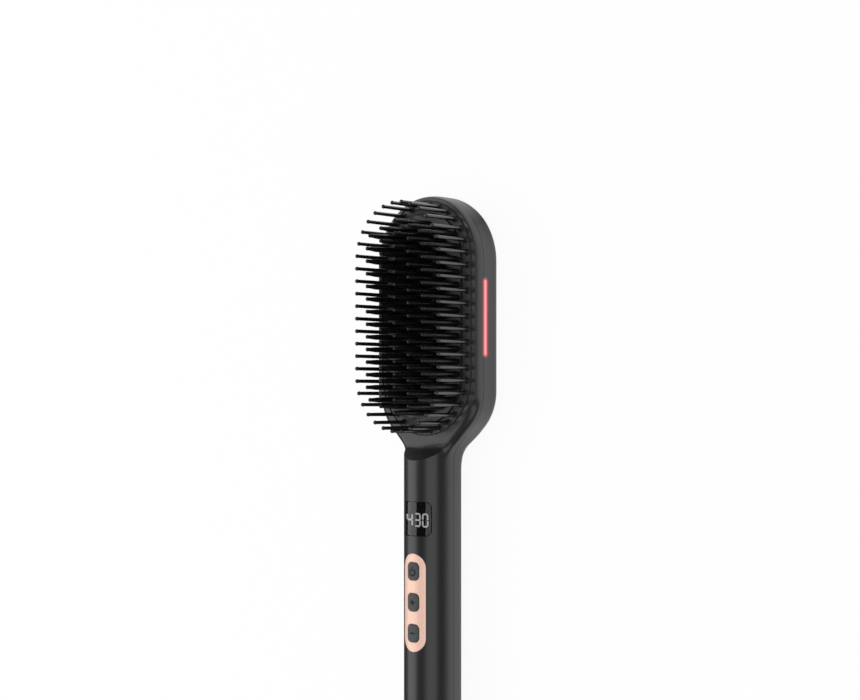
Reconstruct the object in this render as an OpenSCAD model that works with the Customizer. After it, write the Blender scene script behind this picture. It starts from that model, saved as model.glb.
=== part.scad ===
// Steam hair straightener brush, lying on its back.
// +Z is the way the teeth point, +Y runs from the cord end to the top of the head,
// and the origin is on the resting surface under the middle of the whole length.

/* [Handle] */
// Radius of the round handle
grip_r = 14.5; // [14:0.5:16]
// Wall thickness of both casing halves
wall = 1.8; // [1.6:0.1:2]
// Where the casing halves end and the end cap begins
tail_y = -136; // [-140:1:-130]

/* [Head] */
// Half the width of the head
head_r = 34.2; // [34:0.1:36]
// Centre of the round top of the head, along Y
top_y = 115.8; // [115:0.2:116]
// Centre of the round shoulders, along Y
shoulder_y = 51.2; // [51:0.2:52]
// Radius of the round shoulders
shoulder_r = 26; // [24:1:27]
// Radius of the hollow where the neck meets the handle
neck_r = 10; // [8:1:12]
// Height of the front face of the head
face_z = 19.6; // [19.4:0.1:19.8]
// Radius of the rounded edge around the back of the head
back_edge = 7.6; // [6:0.2:8]

/* [Teeth] */
// Number of pins around the edge
pin_count = 46; // [40:2:48]
// Distance from one row of teeth to the next
row_pitch = 6.34; // [6.3:0.02:6.4]
// Distance from one column of blades to the next
column_pitch = 9.5; // [9.4:0.1:9.6]
// Height of the tips of the pins
pin_tip_z = 41.7; // [38:0.1:44]
// Height of the tips of the blades
blade_tip_z = 43.1; // [40:0.1:46]

/* [Controls] */
// Travel of a button
button_travel = 0.6; // [0.3:0.1:0.7]
// Distance from one button to the next
button_pitch = 15.5; // [14.5:0.5:16]

/* [Hidden] */
$fn = 64;

// Colours
CHARCOAL = "#3d3d3f";
BLACK = "#1b1b1d";
CERAMIC = "#26262a";
ROSE = "#e2a389";
GLOW = "#ff8088";
STEEL = "#b9bcc0";
BOARD = "#1f5a3c";
SILICONE = "#6a6a6e";
PALE = "#d8d2c4";

// Handle and seam
seam_z = grip_r;
bore_r = grip_r - wall;

// Plate stadium: two round ends of one radius joined by straight sides
ring_lo = 59.2;
ring_hi = 117;
ring_r = 30.2;
ring_gap = 0.15;
flange_r = ring_r + 0.75;
island_r = 24.2;
plate_flange_r = 25.6;
rim_under = face_z - 2.3;
flange_under = rim_under - 1.4;
plate_under = flange_under - 1.4;
island_z = face_z + 0.6;
carrier_under = 8.8;

// Outline of the neck: shoulder arc, 45 degree line, hollow arc
c45 = cos(45);
shoulder_x = head_r - shoulder_r;
line_k = shoulder_x - shoulder_y + 2 * shoulder_r * c45;
neck_x = grip_r + neck_r;
neck_y = neck_x - 2 * neck_r * c45 - line_k;

// Front of the neck: a flat dome, given by its height, the width of its rounded side and its squareness
dome_h = 6.2;
dome_w = 22;
dome_n = 3;
// Stretches along Y in which the round handle turns into the dome, and the dome into the head
dome_from = 14;
dome_blend = 12;
head_from = 38.5;
head_blend = 10;
// Front wall of the head: part of an oval with these half axes
wall_lean = 3.4;
wall_rise = 7.35;

// Scoop: a ramp from the front of the handle down to the face of the head, with a blend at its foot
ramp_slope = 58;
ramp_step = 14.5;
ramp_blend = 7;
ramp_foot = 26.4;

// The back of the handle is round up to here, and has the head's rounded edge after the blend
back_from = 12;
back_blend = 19;

// Blades and pins
pin_path_r = 28;
pin_path_len = 2 * (ring_hi - ring_lo) + 2 * PI * pin_path_r;
pin_pitch = pin_path_len / pin_count;
row_a = 113.45;
row_b = row_a - row_pitch / 2;
cap_z = blade_tip_z - 7.8;

// Buttons, bezel and display
button_y = -54.4;
bezel_half = 7.05;
bezel_lo = -79.3;
bezel_hi = -30;
bezel_proud = 0.35;
bezel_seat_r = grip_r - 1;
key_w = 7.2;
key_l = 8.7;
key_gap = 0.15;
key_top_r = grip_r + bezel_proud + 0.25;
window_lo = -21.3;
window_hi = -4;
window_half = 9.6;
window_seat_r = grip_r - 0.8;
board_top = seam_z + 7.5;
board_t = 1.2;
switch_h = 2;
switch_well = 1.2;

// Screws
case_spots = [[28.6, 61], [-28.6, 61], [28.6, 113], [-28.6, 113]];
grip_spots = [[0, 8], [0, -126]];
carrier_spots = [[19.8, 136.8], [-19.8, 136.8], [19.8, 39.4], [-19.8, 39.4]];
board_spots = [[6, -0.5], [-6, -0.5], [6, -25.6], [-6, -25.6], [6, -84.5], [-6, -84.5]];
screw_r = 1.25;
screw_hole_r = 1.3;
case_head_z = 3.2;
case_pillar_r = 2.7;
grip_pillar_r = 3.2;
board_pillar_r = 2;

// Light bars
bar_lo = 68.5;
bar_hi = 106.5;
bar_under = 12;

// Inside the head: feet under the carrier, heater strips and leads, and the water's way from tank to vents
foot_spots = [[23.4, 112], [-23.4, 112], [16, 46], [-16, 46]];
strip_x = 13;
strip_lo = 50;
strip_hi = 126;
strip_t = 1.3;
lead_x = 5;
lead_z = 11.6;
lead_r = 0.9;
lead_end = 42;
steam_w = 12;
steam_lo = 48;
steam_hi = 112;
steam_under = carrier_under + 2.4;
inlet_y = 56;
tube_r = 1;
tube_z = 4;
bend_r = 3.5;
pump_lo = 64;
pump_hi = 78;
tank_y = 112;
tank_w = 40;
tank_l = 52;
tank_top = 8.4;
lamp_pitch = 5.8;

// Power board in the handle, on two rails
power_lo = -118;
power_l = 112;
power_z = 8;
power_t = 1.6;
rail_x = 9.2;

// Filler
fill_y = 124;
fill_r = 4;
plug_recess = 0.6;

// Cord end
cap_end = tail_y - 8;
swivel_r = 5;
swivel_fit = 0.05;
swivel_end = -150;
cord_r = 3.1;

function mix(a, b, t) = a + (b - a) * t;
function clamp01(t) = min(1, max(0, t));
function smooth(t) = clamp01(t) * clamp01(t) * (3 - 2 * clamp01(t));
function arc_at(c, r, t, side) = [c[0] + r * cos(t), c[1] + r * sin(t), side * cos(t), side * sin(t)];

// Right half of the seam outline, from the handle to the top of the head, as
// [x, y, inward x, inward y]
RIGHT = concat(
    [for (t = [180 : -9 : 135]) arc_at([neck_x, neck_y], neck_r, t, 1)],
    [for (y = [26 : 2.2 : 31]) [y + line_k, y, -c45, c45]],
    [for (t = [-45 : 6 : 0]) arc_at([shoulder_x, shoulder_y], shoulder_r, t, -1)],
    [for (y = [shoulder_y, top_y - 32]) [head_r, y, -1, 0]],
    [for (t = [0 : 6 : 90]) arc_at([0, top_y], head_r, t, -1)]
);
function both_sides(right) = concat(right,
    [for (i = [len(right) - 2 : -1 : 0]) [-right[i][0], right[i][1], -right[i][2], right[i][3]]]);
OUTLINE = both_sides(RIGHT);

function inset(p, d) = [p[0] + d * p[2], p[1] + d * p[3]];
// Size of the rounded edge at the back, at a point of the outline
function back_round(p) = mix(grip_r - 0.1, back_edge, smooth((p[1] - back_from) / back_blend));
// Side of the front at a point of the outline, at share v of the way from the seam up to the crown,
// as [inset, height above the seam]: round on the handle, a dome on the neck, almost upright on the head
function front_side(p, v) =
    let (
        on_neck = smooth((p[1] - dome_from) / dome_blend),
        on_head = smooth((p[1] - head_from) / head_blend),
        n = mix(2, dome_n, on_neck),
        h = mix(grip_r, dome_h, on_neck),
        w = min(abs(p[0]), dome_w)
    )
    [mix(w * (1 - pow(cos(88 * v), 2 / n)), wall_lean * (1 - cos(60 * v)), on_head),
        mix(h * pow(sin(88 * v), 2 / n), wall_rise * sin(60 * v), on_head)];

// A closed solid through rings of points, one ring for each level. Point i of a ring lies across
// from point n - 1 - i, and the two ends are closed by strips between such points.
module rings(levels) {
    n = len(levels[0]);
    m = len(levels);
    sides = [for (j = [0 : m - 2], i = [0 : n - 1], k = [0, 1])
        let (a = j * n + i, b = j * n + (i + 1) % n)
        k == 0 ? [b + n, b, a] : [a + n, b + n, a]];
    strips = [for (i = [0 : ceil(n / 2) - 2])
        i + 1 == n - 2 - i ? [i, i + 1, n - 1 - i] : [i, i + 1, n - 2 - i, n - 1 - i]];
    polyhedron(
        points = [for (level = levels, p = level) p],
        faces = concat(strips, sides,
            [for (f = strips) [for (i = [len(f) - 1 : -1 : 0]) (m - 1) * n + f[i]]])
    );
}

// Front half of the neck and head before the scoop is cut, from just inside the handle on
module front_form() {
    inside = 0.99;
    whole = both_sides(concat([[inside * grip_r, dome_from - 2, -1, 0], [grip_r, dome_from, -1, 0]], RIGHT));
    rings([for (i = [0 : 10]) [for (p = whole)
        let (
            side = front_side(p, i / 10),
            q = p[1] < shoulder_y ? [p[0] - sign(p[0]) * side[0], p[1]] : inset(p, side[0]),
            share = p[1] < dome_from ? inside : 1
        )
        [q[0], q[1], seam_z + share * side[1]]]]);
}

// Everything in front of the ramp and of the flat face of the head
module scoop() {
    bend = [for (t = [ramp_slope : -ramp_step : 0])
        [ramp_foot - ramp_blend * sin(t), face_z + ramp_blend * (1 - cos(t))]];
    rise = 2 * grip_r + 2 - bend[0][1];
    rotate([90, 0, 90]) translate([0, 0, -head_r - 1]) linear_extrude(2 * head_r + 2) polygon(concat(
        [[bend[0][0] - rise / tan(ramp_slope), bend[0][1] + rise]], bend,
        [[top_y + head_r + 1, face_z], [top_y + head_r + 1, bend[0][1] + rise]]
    ));
}

// Back half of the handle and head, from y0 on and from the flat back up to top_z,
// made smaller by thickness w
module back_form(w, y0, top_z) {
    whole = both_sides(concat([[grip_r, y0, -1, 0], [grip_r, back_from, -1, 0]], RIGHT));
    rings(concat(
        [for (t = [90 : -11.25 : 0]) [for (p = whole)
            let (r = back_round(p) - w, q = inset(p, w + r * (1 - cos(t))))
            [q[0], q[1], w + r * (1 - sin(t))]]],
        [[for (p = whole) let (q = inset(p, w)) [q[0], q[1], top_z]]]
    ));
}

// The outline of the head drawn in by d, as a flat shape
module outline(d) {
    polygon([for (p = OUTLINE) inset(p, d)]);
}

module stadium(r) {
    for (y = [ring_lo, ring_hi]) translate([0, y]) circle(r, $fn = 120);
    translate([-r, ring_lo]) square([2 * r, ring_hi - ring_lo]);
}

module slab(z0, z1) {
    translate([0, 0, z0]) linear_extrude(z1 - z0) children();
}

module tube_y(r, y0, y1, z = seam_z) {
    translate([0, y0, z]) rotate([-90, 0, 0]) cylinder(r = r, h = y1 - y0, $fn = 120);
}

module rounded(w, l, r) {
    for (x = [-1, 1], y = [-1, 1]) translate([x * (w / 2 - r), y * (l / 2 - r)]) circle(r, $fn = 40);
    square([w - 2 * r, l], center = true);
    square([w, l - 2 * r], center = true);
}

module pill(half, y0, y1) {
    for (y = [y0 + half, y1 - half]) translate([0, y]) circle(half, $fn = 80);
    translate([-half, y0 + half]) square([2 * half, y1 - y0 - 2 * half]);
}

// A pillar with a screw hole, and a screw with its head down
module pillar(p, r, z0, z1) {
    translate([p[0], p[1], z0]) cylinder(r = r, h = z1 - z0, $fn = 40);
}

module screw(p, head_z, head_r, head_h, shank_r, tip_z) {
    translate([p[0], p[1], head_z - head_h]) difference() {
        cylinder(r = head_r, h = head_h, $fn = 40);
        for (a = [0, 90]) rotate(a) translate([-head_r * 0.6, -0.25, -1]) cube([head_r * 1.2, 0.5, 1.5]);
    }
    translate([p[0], p[1], head_z]) cylinder(r = shank_r, h = tip_z - head_z, $fn = 40);
}

module front_shell() {
    color(CHARCOAL) {
        difference() {
            union() {
                intersection() {
                    tube_y(grip_r, tail_y, dome_from - 1);
                    translate([-grip_r, tail_y, seam_z]) cube([2 * grip_r, dome_from - 1 - tail_y, grip_r]);
                }
                front_form();
            }
            scoop();
            tube_y(bore_r, tail_y - 1, dome_from - 1);
            slab(seam_z - 1, rim_under) outline(wall);
            slab(rim_under - 1, face_z + 1) stadium(ring_r + ring_gap);
            window_pocket();
            bezel_pocket();
        }
        front_bosses();
    }
}

module window_pocket() {
    mid = (window_lo + window_hi) / 2;
    long = window_hi - window_lo;
    difference() {
        slab(seam_z, seam_z + 16) translate([0, mid]) rounded(2 * window_half, long, 3);
        tube_y(window_seat_r, window_lo - 1, window_hi + 1);
    }
    slab(seam_z, seam_z + 16) translate([0, mid]) rounded(17, long - 1.4, 1.2);
}

module key_spots() {
    for (i = [-1, 0, 1]) translate([0, button_y + i * button_pitch]) children();
}

module bezel_pocket() {
    difference() {
        slab(seam_z, seam_z + 16) pill(bezel_half, bezel_lo, bezel_hi);
        tube_y(bezel_seat_r, bezel_lo - 1, bezel_hi + 1);
    }
    slab(seam_z, seam_z + 16) key_spots() rounded(key_w + 2 * key_gap, key_l + 2 * key_gap, 2.3 + key_gap);
}

// Screw pillars of the front casing, for the case screws and the control board
module front_bosses() {
    difference() {
        union() {
            for (p = case_spots) pillar(p, case_pillar_r, seam_z, rim_under);
            intersection() {
                union() {
                    for (p = grip_spots) pillar(p, grip_pillar_r, seam_z, seam_z + grip_r);
                    for (p = board_spots) pillar(p, board_pillar_r, board_top, seam_z + grip_r);
                }
                tube_y(bore_r + 0.4, tail_y, 20);
            }
        }
        for (p = concat(case_spots, grip_spots)) pillar(p, screw_hole_r, seam_z - 1, seam_z + 2.6);
        for (p = board_spots) pillar(p, 0.95, board_top - 1, board_top + 2.2);
    }
}

module back_shell() {
    color(CHARCOAL) {
        difference() {
            union() {
                difference() {
                    back_form(0, tail_y, seam_z);
                    back_form(wall, tail_y - 1, seam_z + 1);
                }
                for (p = concat(case_spots, grip_spots)) pillar(p, case_pillar_r, wall - 0.05, seam_z);
                for (p = foot_spots) pillar(p, 1.5, 1, carrier_under);
                for (x = [-1, 1]) translate([x * rail_x - 0.9, power_lo, power_z - 3.4]) cube([1.8, power_l, 3.4]);
            }
            for (p = concat(case_spots, grip_spots)) {
                pillar(p, screw_hole_r, -1, seam_z + 1);
                pillar(p, 2.3, -1, case_head_z);
            }
            for (x = [-1, 1]) light_slot(x);
            pillar([0, fill_y], fill_r, -1, wall + 1);
            pillar([0, fill_y], fill_r + 1.2, -1, 0.9);
        }
    }
}

module bar_shape() {
    r = 1;
    translate([bar_lo, bar_under + r]) square([bar_hi - bar_lo, seam_z - bar_under - r]);
    translate([bar_lo + r, bar_under]) square([bar_hi - bar_lo - 2 * r, r]);
    for (y = [bar_lo + r, bar_hi - r]) translate([y, bar_under + r]) circle(r, $fn = 32);
}

module light_slot(side) {
    translate([side * head_r - 3, 0, 0]) rotate([90, 0, 90]) linear_extrude(6) {
        bar_shape();
        translate([bar_lo, seam_z - 0.5]) square([bar_hi - bar_lo, 1]);
    }
}

module light_bar(side) {
    color(GLOW) translate([side * (head_r - wall / 2) - wall / 2, 0, 0])
        rotate([90, 0, 90]) linear_extrude(wall) bar_shape();
}

module light_bar_right() {
    light_bar(1);
}

module light_bar_left() {
    light_bar(-1);
}

// Light board: a strip with six lamps that touch the back of the light bar
module led_board(side) {
    color(BOARD) {
        translate([side * (head_r - wall - 1.4) - 0.4, bar_lo, 9.5]) cube([0.8, bar_hi - bar_lo, seam_z - 9.5]);
        for (i = [0 : 5]) translate([side * (head_r - wall - 0.5) - 0.5, bar_lo + 4.5 + i * lamp_pitch, 12.3])
            cube([1, 2.2, 1.6]);
    }
}

module led_board_right() {
    led_board(1);
}

module led_board_left() {
    led_board(-1);
}

module bristle_ring() {
    color(BLACK) difference() {
        union() {
            slab(rim_under, face_z) stadium(ring_r);
            slab(flange_under, rim_under) stadium(flange_r);
        }
        slab(flange_under - 1, face_z + 1) stadium(island_r + 0.15);
        for (p = case_spots) pillar(p, case_pillar_r + 0.2, flange_under - 1, rim_under);
        for (p = carrier_spots) pillar(p, 1.05, flange_under - 1, face_z - 0.9);
    }
}

// Place of a pin, by its distance along the pin path from the top of the head
function pin_at(s) =
    let (quarter = PI * pin_path_r / 2, straight = ring_hi - ring_lo, half = 2 * quarter + straight)
    s > half ? let (p = pin_at(2 * half - s)) [-p[0], p[1]] :
    s < quarter ? let (t = s / pin_path_r * 180 / PI) [pin_path_r * sin(t), ring_hi + pin_path_r * cos(t)] :
    s < quarter + straight ? [pin_path_r, ring_hi - (s - quarter)] :
    let (t = (s - quarter - straight) / pin_path_r * 180 / PI)
    [pin_path_r * cos(t), ring_lo - pin_path_r * sin(t)];

module outer_pins() {
    ball = 1.05;
    color(BLACK) for (i = [0 : pin_count - 1]) {
        p = pin_at((i + 0.5) * pin_pitch);
        translate([p[0], p[1], face_z]) rotate_extrude($fn = 24) polygon(concat(
            [[0, 0], [1.7, 0], [1.7, 0.5], [1.25, 0.9], [1.05, 0.9], [0.85, pin_tip_z - face_z - 2 * ball]],
            [for (t = [-40 : 26 : 64]) [ball * cos(t), pin_tip_z - face_z - ball + ball * sin(t)]],
            [[0, pin_tip_z - face_z]]
        ));
    }
}

// Steam leaves through small holes between the columns of blades
vent_spots = [for (x = [-0.5, 0.5], i = [0 : 4]) [x * column_pitch, row_a - 3.25 * row_pitch - i * row_pitch]];

module comb_plate() {
    color(CERAMIC) difference() {
        union() {
            slab(plate_under, island_z) stadium(island_r);
            slab(plate_under, flange_under) stadium(plate_flange_r);
        }
        for (p = vent_spots) pillar(p, 0.6, plate_under - 1, island_z + 1);
    }
}

// Places of the blades: [x, y, foot scale]. The middle and outer columns stand half a row off the others.
BLADES = concat(
    [for (k = [-11 : 4]) [0, row_b + k * row_pitch, 1]],
    [for (x = [-1, 1], k = [-11 : 3]) [x * column_pitch, row_a + k * row_pitch, 1]],
    [for (x = [-1, 1], k = [-9 : 2]) [x * 2 * column_pitch, row_b + k * row_pitch, 1]],
    [for (x = [-1, 1], k = [-10, 3]) [x * (2 * column_pitch - 1.9), row_b + k * row_pitch, 0.82]]
);

function oval(a, b, z) = [for (t = [22.5 : 45 : 360]) [a * cos(t), b * sin(t), z]];

module comb_blades() {
    color(CERAMIC) for (p = BLADES) translate([p[0], p[1], 0])
        rings([oval(4.7 * p[2], 1.8, island_z), oval(3.9 * p[2], 1.6, island_z + 7.5), oval(2.4, 1.25, cap_z)]);
}

module blade_caps() {
    color(BLACK) for (p = BLADES) translate([p[0], p[1], 0])
        rings([oval(2.5, 1.35, cap_z), oval(0.95, 0.9, blade_tip_z - 1.9), oval(1.05, 1.05, blade_tip_z - 0.9),
            oval(0.5, 0.5, blade_tip_z)]);
}

module heater_strips() {
    color(PALE) for (x = [-1, 1])
        translate([x * strip_x - 6, strip_lo, plate_under - strip_t]) cube([12, strip_hi - strip_lo, strip_t]);
}

module heater_carrier() {
    color(BLACK) difference() {
        union() {
            slab(carrier_under, plate_under) stadium(plate_flange_r - 1);
            for (p = carrier_spots) {
                pillar(p, 2.8, carrier_under + 3, plate_under);
                translate([p[0], p[1], carrier_under + 3])
                    rotate(atan2((p[1] > tank_y ? ring_hi : ring_lo) - p[1], -p[0]))
                    translate([0, -1.5, 0]) cube([6, 3, plate_under - carrier_under - 3]);
            }
            for (p = carrier_spots) pillar(p, 2.4, plate_under, flange_under);
        }
        slab(plate_under, flange_under + 1) stadium(plate_flange_r);
        heater_strips();
        translate([-steam_w / 2, steam_lo, steam_under]) cube([steam_w, steam_hi - steam_lo, 10]);
        for (x = [-1, 1]) translate([x * strip_x - 4, strip_lo + 4, carrier_under + 2])
            cube([8, strip_hi - strip_lo - 8, 10]);
        pillar([0, inlet_y], tube_r + 0.5, carrier_under - 1, carrier_under + 3);
        temperature_sensor();
        for (x = [-1, 1]) translate([x * lead_x, 0, 0]) tube_y(lead_r + 0.05, 30, lead_end, lead_z);
        for (p = carrier_spots) pillar(p, screw_hole_r, carrier_under - 1, flange_under + 1);
    }
}

module carrier_screws() {
    color(STEEL) for (p = carrier_spots) screw(p, carrier_under + 3, 2.2, 1.4, 1, face_z - 1.2);
}

// Evaporator on the back of the comb plate, with a channel that feeds the vents
module steam_block() {
    color(STEEL) difference() {
        translate([-steam_w / 2, steam_lo, steam_under])
            cube([steam_w, steam_hi - steam_lo, plate_under - steam_under]);
        for (x = [-1, 1]) translate([x * column_pitch / 2 - 0.9, 62, plate_under - 1.6]) cube([1.8, 34, 2]);
        translate([-column_pitch / 2 - 0.9, 60, plate_under - 1.6]) cube([column_pitch + 1.8, 2, 2]);
        pillar([0, inlet_y], tube_r, carrier_under, plate_under - 1);
        translate([-1, inlet_y - 1, plate_under - 1.6]) cube([2, 6, 2]);
    }
}

// Silicone tube from the pump up into the evaporator
module steam_tube() {
    color(SILICONE) {
        pillar([0, inlet_y], tube_r, tube_z + bend_r, plate_under - 1.8);
        translate([0, inlet_y + bend_r, tube_z + bend_r]) rotate([90, 0, 90]) rotate([0, 0, 180])
            rotate_extrude(angle = 90, $fn = 48) translate([bend_r, 0]) circle(tube_r, $fn = 32);
        tube_y(tube_r, inlet_y + bend_r, pump_lo, tube_z);
    }
}

module micro_pump() {
    color(PALE) {
        translate([-8, pump_lo, wall]) cube([16, 8, 6.4]);
        tube_y(3, pump_lo + 8, pump_hi, tube_z + 1);
    }
}

// Silicone tube from the tank to the pump
module feed_tube() {
    color(SILICONE) tube_y(tube_r, pump_hi, tank_y - tank_l / 2, tube_z + 1);
}

module water_tank() {
    color("#8fa3ad", 0.6) difference() {
        slab(wall, tank_top) translate([0, tank_y]) rounded(tank_w, tank_l, 9);
        pillar([0, fill_y], fill_r, wall - 1, wall + 3.4);
    }
}

// Silicone plug with a finger tab, pushed into the filler port from the back
module filler_plug() {
    color(SILICONE) {
        pillar([0, fill_y], fill_r - 0.04, plug_recess, wall + 3);
        difference() {
            pillar([0, fill_y], fill_r + 1, 0.35, 0.85);
            translate([-1.5, fill_y - fill_r - 1.5, 0]) cube([3, 1.2, 2]);
        }
    }
}

module temperature_sensor() {
    color(STEEL) translate([0, 121, plate_under - 1.2]) cylinder(r = 1.6, h = 1.2, $fn = 32);
}

module thermal_fuse() {
    color(PALE) tube_y(1.2, 34, 44, 7.6);
}

module display_window() {
    mid = (window_lo + window_hi) / 2;
    color("#141417", 0.85) intersection() {
        difference() {
            tube_y(grip_r, window_lo - 1, window_hi + 1);
            tube_y(window_seat_r, window_lo - 2, window_hi + 2);
        }
        slab(seam_z, seam_z + 16) translate([0, mid]) rounded(2 * window_half, window_hi - window_lo, 3);
    }
}

module display_module() {
    color(BLACK) translate([-7.8, -20.2, board_top]) cube([15.6, 15.1, 3.6]);
}

module button_bezel() {
    color(ROSE) difference() {
        intersection() {
            difference() {
                tube_y(grip_r + bezel_proud, bezel_lo - 1, bezel_hi + 1);
                tube_y(bezel_seat_r, bezel_lo - 2, bezel_hi + 2);
            }
            slab(seam_z, seam_z + 16) pill(bezel_half, bezel_lo, bezel_hi);
        }
        slab(seam_z, seam_z + 16) key_spots() rounded(key_w + 2 * key_gap, key_l + 2 * key_gap, 2.3 + key_gap);
    }
}

// One push button: a key with a curved top, a flange that keeps it in, and a foot over its switch
module button(i) {
    color(CHARCOAL) translate([0, button_y + i * button_pitch, 0]) {
        intersection() {
            slab(board_top + 3, seam_z + 16) rounded(key_w, key_l, 2.3);
            tube_y(key_top_r, -key_l, key_l);
        }
        slab(board_top + 3, board_top + 3.7) rounded(key_w + 1.6, key_l + 1.8, 2);
        pillar([0, 0], 1.2, board_top + switch_h - switch_well + 0.3 + button_travel, board_top + 3);
    }
}

module power_button() {
    button(1);
}

module plus_button() {
    button(0);
}

module minus_button() {
    button(-1);
}

module control_board() {
    color(BOARD) difference() {
        translate([-9, -88, board_top - board_t]) cube([18, 91, board_t]);
        for (p = board_spots) pillar(p, 1, board_top - board_t - 1, board_top + 1);
    }
}

module tact_switches() {
    color(STEEL) key_spots() translate([0, 0, board_top]) difference() {
        translate([-2.6, -2.6, 0]) cube([5.2, 5.2, switch_h]);
        translate([0, 0, switch_h - switch_well]) cylinder(r = 1.8, h = switch_h, $fn = 32);
    }
}

module board_screws() {
    color(STEEL) for (p = board_spots) screw(p, board_top - board_t, 1.7, 1.1, 0.9, board_top + 2);
}

module power_board() {
    color(BOARD) {
        top = power_z + power_t;
        can_r = 4.5;
        translate([-10, power_lo, power_z]) cube([20, power_l, power_t]);
        translate([-7, -14, top]) cube([14, 8, 4.4]);
        translate([-8, -100, top]) cube([12, 15, 8]);
        translate([-6, -76, top]) cube([10, 12, 6]);
        tube_y(can_r, -56, -40, top + can_r);
        translate([-4, -56, top]) cube([8, 16, 2]);
    }
}

module heater_leads() {
    color(PALE) for (x = [-1, 1]) translate([x * lead_x, 0, 0]) tube_y(lead_r, -6, lead_end, lead_z);
}

module case_screws() {
    color(STEEL) for (p = concat(case_spots, grip_spots)) screw(p, case_head_z, 2.1, 1.4, screw_r, seam_z + 2.4);
}

// Points of a profile turned about the handle axis: distance from the axis, distance from the cap's front
module turned_y(points, y) {
    translate([0, y, seam_z]) rotate([90, 0, 0]) rotate_extrude($fn = 96) polygon(points);
}

module tail_cap() {
    depth = tail_y - cap_end;
    color(BLACK) turned_y(concat(
        [[bore_r - 1.6, -6], [bore_r - 0.15, -6], [bore_r - 0.15, 0], [grip_r, 0]],
        [for (t = [0 : 15 : 90]) [grip_r - 5 + 5 * cos(t), depth - 5 + 5 * sin(t)]],
        [[swivel_r + swivel_fit, depth], [swivel_r + swivel_fit, depth - 4], [bore_r - 1.6, depth - 4]]
    ), tail_y);
}

// Two sprung contacts on a block behind the swivel
module slip_contacts() {
    color("#c08a4a") {
        tube_y(bore_r - 1.6, tail_y + 2, tail_y + 5);
        for (x = [-1, 1]) translate([x * 7.2 - 1, -131, 9]) cube([2, 13, 2]);
    }
}

// Cord swivel: turns in the end cap, with a bore that the cord comes out of
module cord_swivel() {
    gap = 0.2;
    inner = cap_end + 4 + gap;
    color(BLACK) turned_y([
        [cord_r, -inner - 2], [7, -inner - 2], [7, -inner], [swivel_r, -inner],
        [swivel_r, -cap_end + gap], [7, -cap_end + gap], [7, -cap_end + 1.6], [6.4, -cap_end + 2.2],
        [5.2, -swivel_end - 0.8], [4.6, -swivel_end], [cord_r, -swivel_end]
    ], 0);
}

front_shell();
back_shell();
bristle_ring();
outer_pins();
comb_plate();
comb_blades();
blade_caps();
heater_strips();
heater_carrier();
carrier_screws();
steam_block();
steam_tube();
micro_pump();
feed_tube();
water_tank();
filler_plug();
temperature_sensor();
thermal_fuse();
light_bar_right();
light_bar_left();
led_board_right();
led_board_left();
display_window();
display_module();
button_bezel();
power_button();
plus_button();
minus_button();
control_board();
tact_switches();
board_screws();
power_board();
heater_leads();
case_screws();
tail_cap();
slip_contacts();
cord_swivel();
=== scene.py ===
"""Looks of a steam hair straightener brush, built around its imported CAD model."""

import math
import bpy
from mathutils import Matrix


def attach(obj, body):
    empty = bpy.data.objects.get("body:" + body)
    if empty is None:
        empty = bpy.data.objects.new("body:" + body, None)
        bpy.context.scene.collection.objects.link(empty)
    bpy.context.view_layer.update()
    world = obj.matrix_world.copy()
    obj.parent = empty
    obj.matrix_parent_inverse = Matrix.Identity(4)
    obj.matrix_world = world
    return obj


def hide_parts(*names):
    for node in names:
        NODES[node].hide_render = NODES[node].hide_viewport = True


bl_info = {
    "name": "Steam Hair Straightener Brush",
    "version": (1, 0, 0),
    "blender": (4, 5, 0),
    "location": "View3D > Sidebar > Brush",
    "description": "Builds the casing, comb, controls and studio of a steam hair straightener brush",
    "category": "Add Mesh",
}

import bmesh
import bpy
import numpy as np
from bpy.props import FloatProperty, FloatVectorProperty, IntProperty, PointerProperty
from mathutils import Matrix, Vector

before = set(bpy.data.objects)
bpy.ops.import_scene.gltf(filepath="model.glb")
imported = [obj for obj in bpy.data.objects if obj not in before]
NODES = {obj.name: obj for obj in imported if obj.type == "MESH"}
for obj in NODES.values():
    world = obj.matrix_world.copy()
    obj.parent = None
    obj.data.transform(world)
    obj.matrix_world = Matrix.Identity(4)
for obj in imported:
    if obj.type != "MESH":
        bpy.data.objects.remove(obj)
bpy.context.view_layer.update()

MM = 0.001
# Sizes in millimetres, as in the part's source
SEAM_Z = 14.5
GRIP_R = 14.5
WALL = 1.8
BORE_R = GRIP_R - WALL
TAIL_Y = -136.0
HEAD_R = 34.2
TOP_Y = 115.8
SHOULDER_X, SHOULDER_Y, SHOULDER_R = 8.2, 51.2, 26.0
NECK_R = 10.0
NECK_X = GRIP_R + NECK_R
C45 = math.sqrt(0.5)
NECK_Y = NECK_X - 2 * NECK_R * C45 - (SHOULDER_X - SHOULDER_Y + 2 * SHOULDER_R * C45)
FACE_Z = 19.6
RIM_UNDER = FACE_Z - 2.3
FLANGE_UNDER = RIM_UNDER - 1.4
PLATE_UNDER = FLANGE_UNDER - 1.4
ISLAND_Z = FACE_Z + 0.6
RING_LO, RING_HI, RING_R = 59.2, 117.0, 30.2
ISLAND_R = 24.2
PIN_PATH_R = 28.0
ROW_A = 113.45
CAP_Z = 35.3
# Where the round handle turns into the neck's flat dome, the dome into the head,
# and the back into its rounded edge
NECK_FROM, NECK_BLEND, DOME_H, DOME_W = 14.0, 12.0, 6.2, 22.0
HEAD_FROM, HEAD_BLEND, WALL_LEAN, WALL_RISE = 38.5, 10.0, 3.4, 7.35
BACK_FROM, BACK_BLEND, BACK_EDGE = 12.0, 19.0, 7.6
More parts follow.
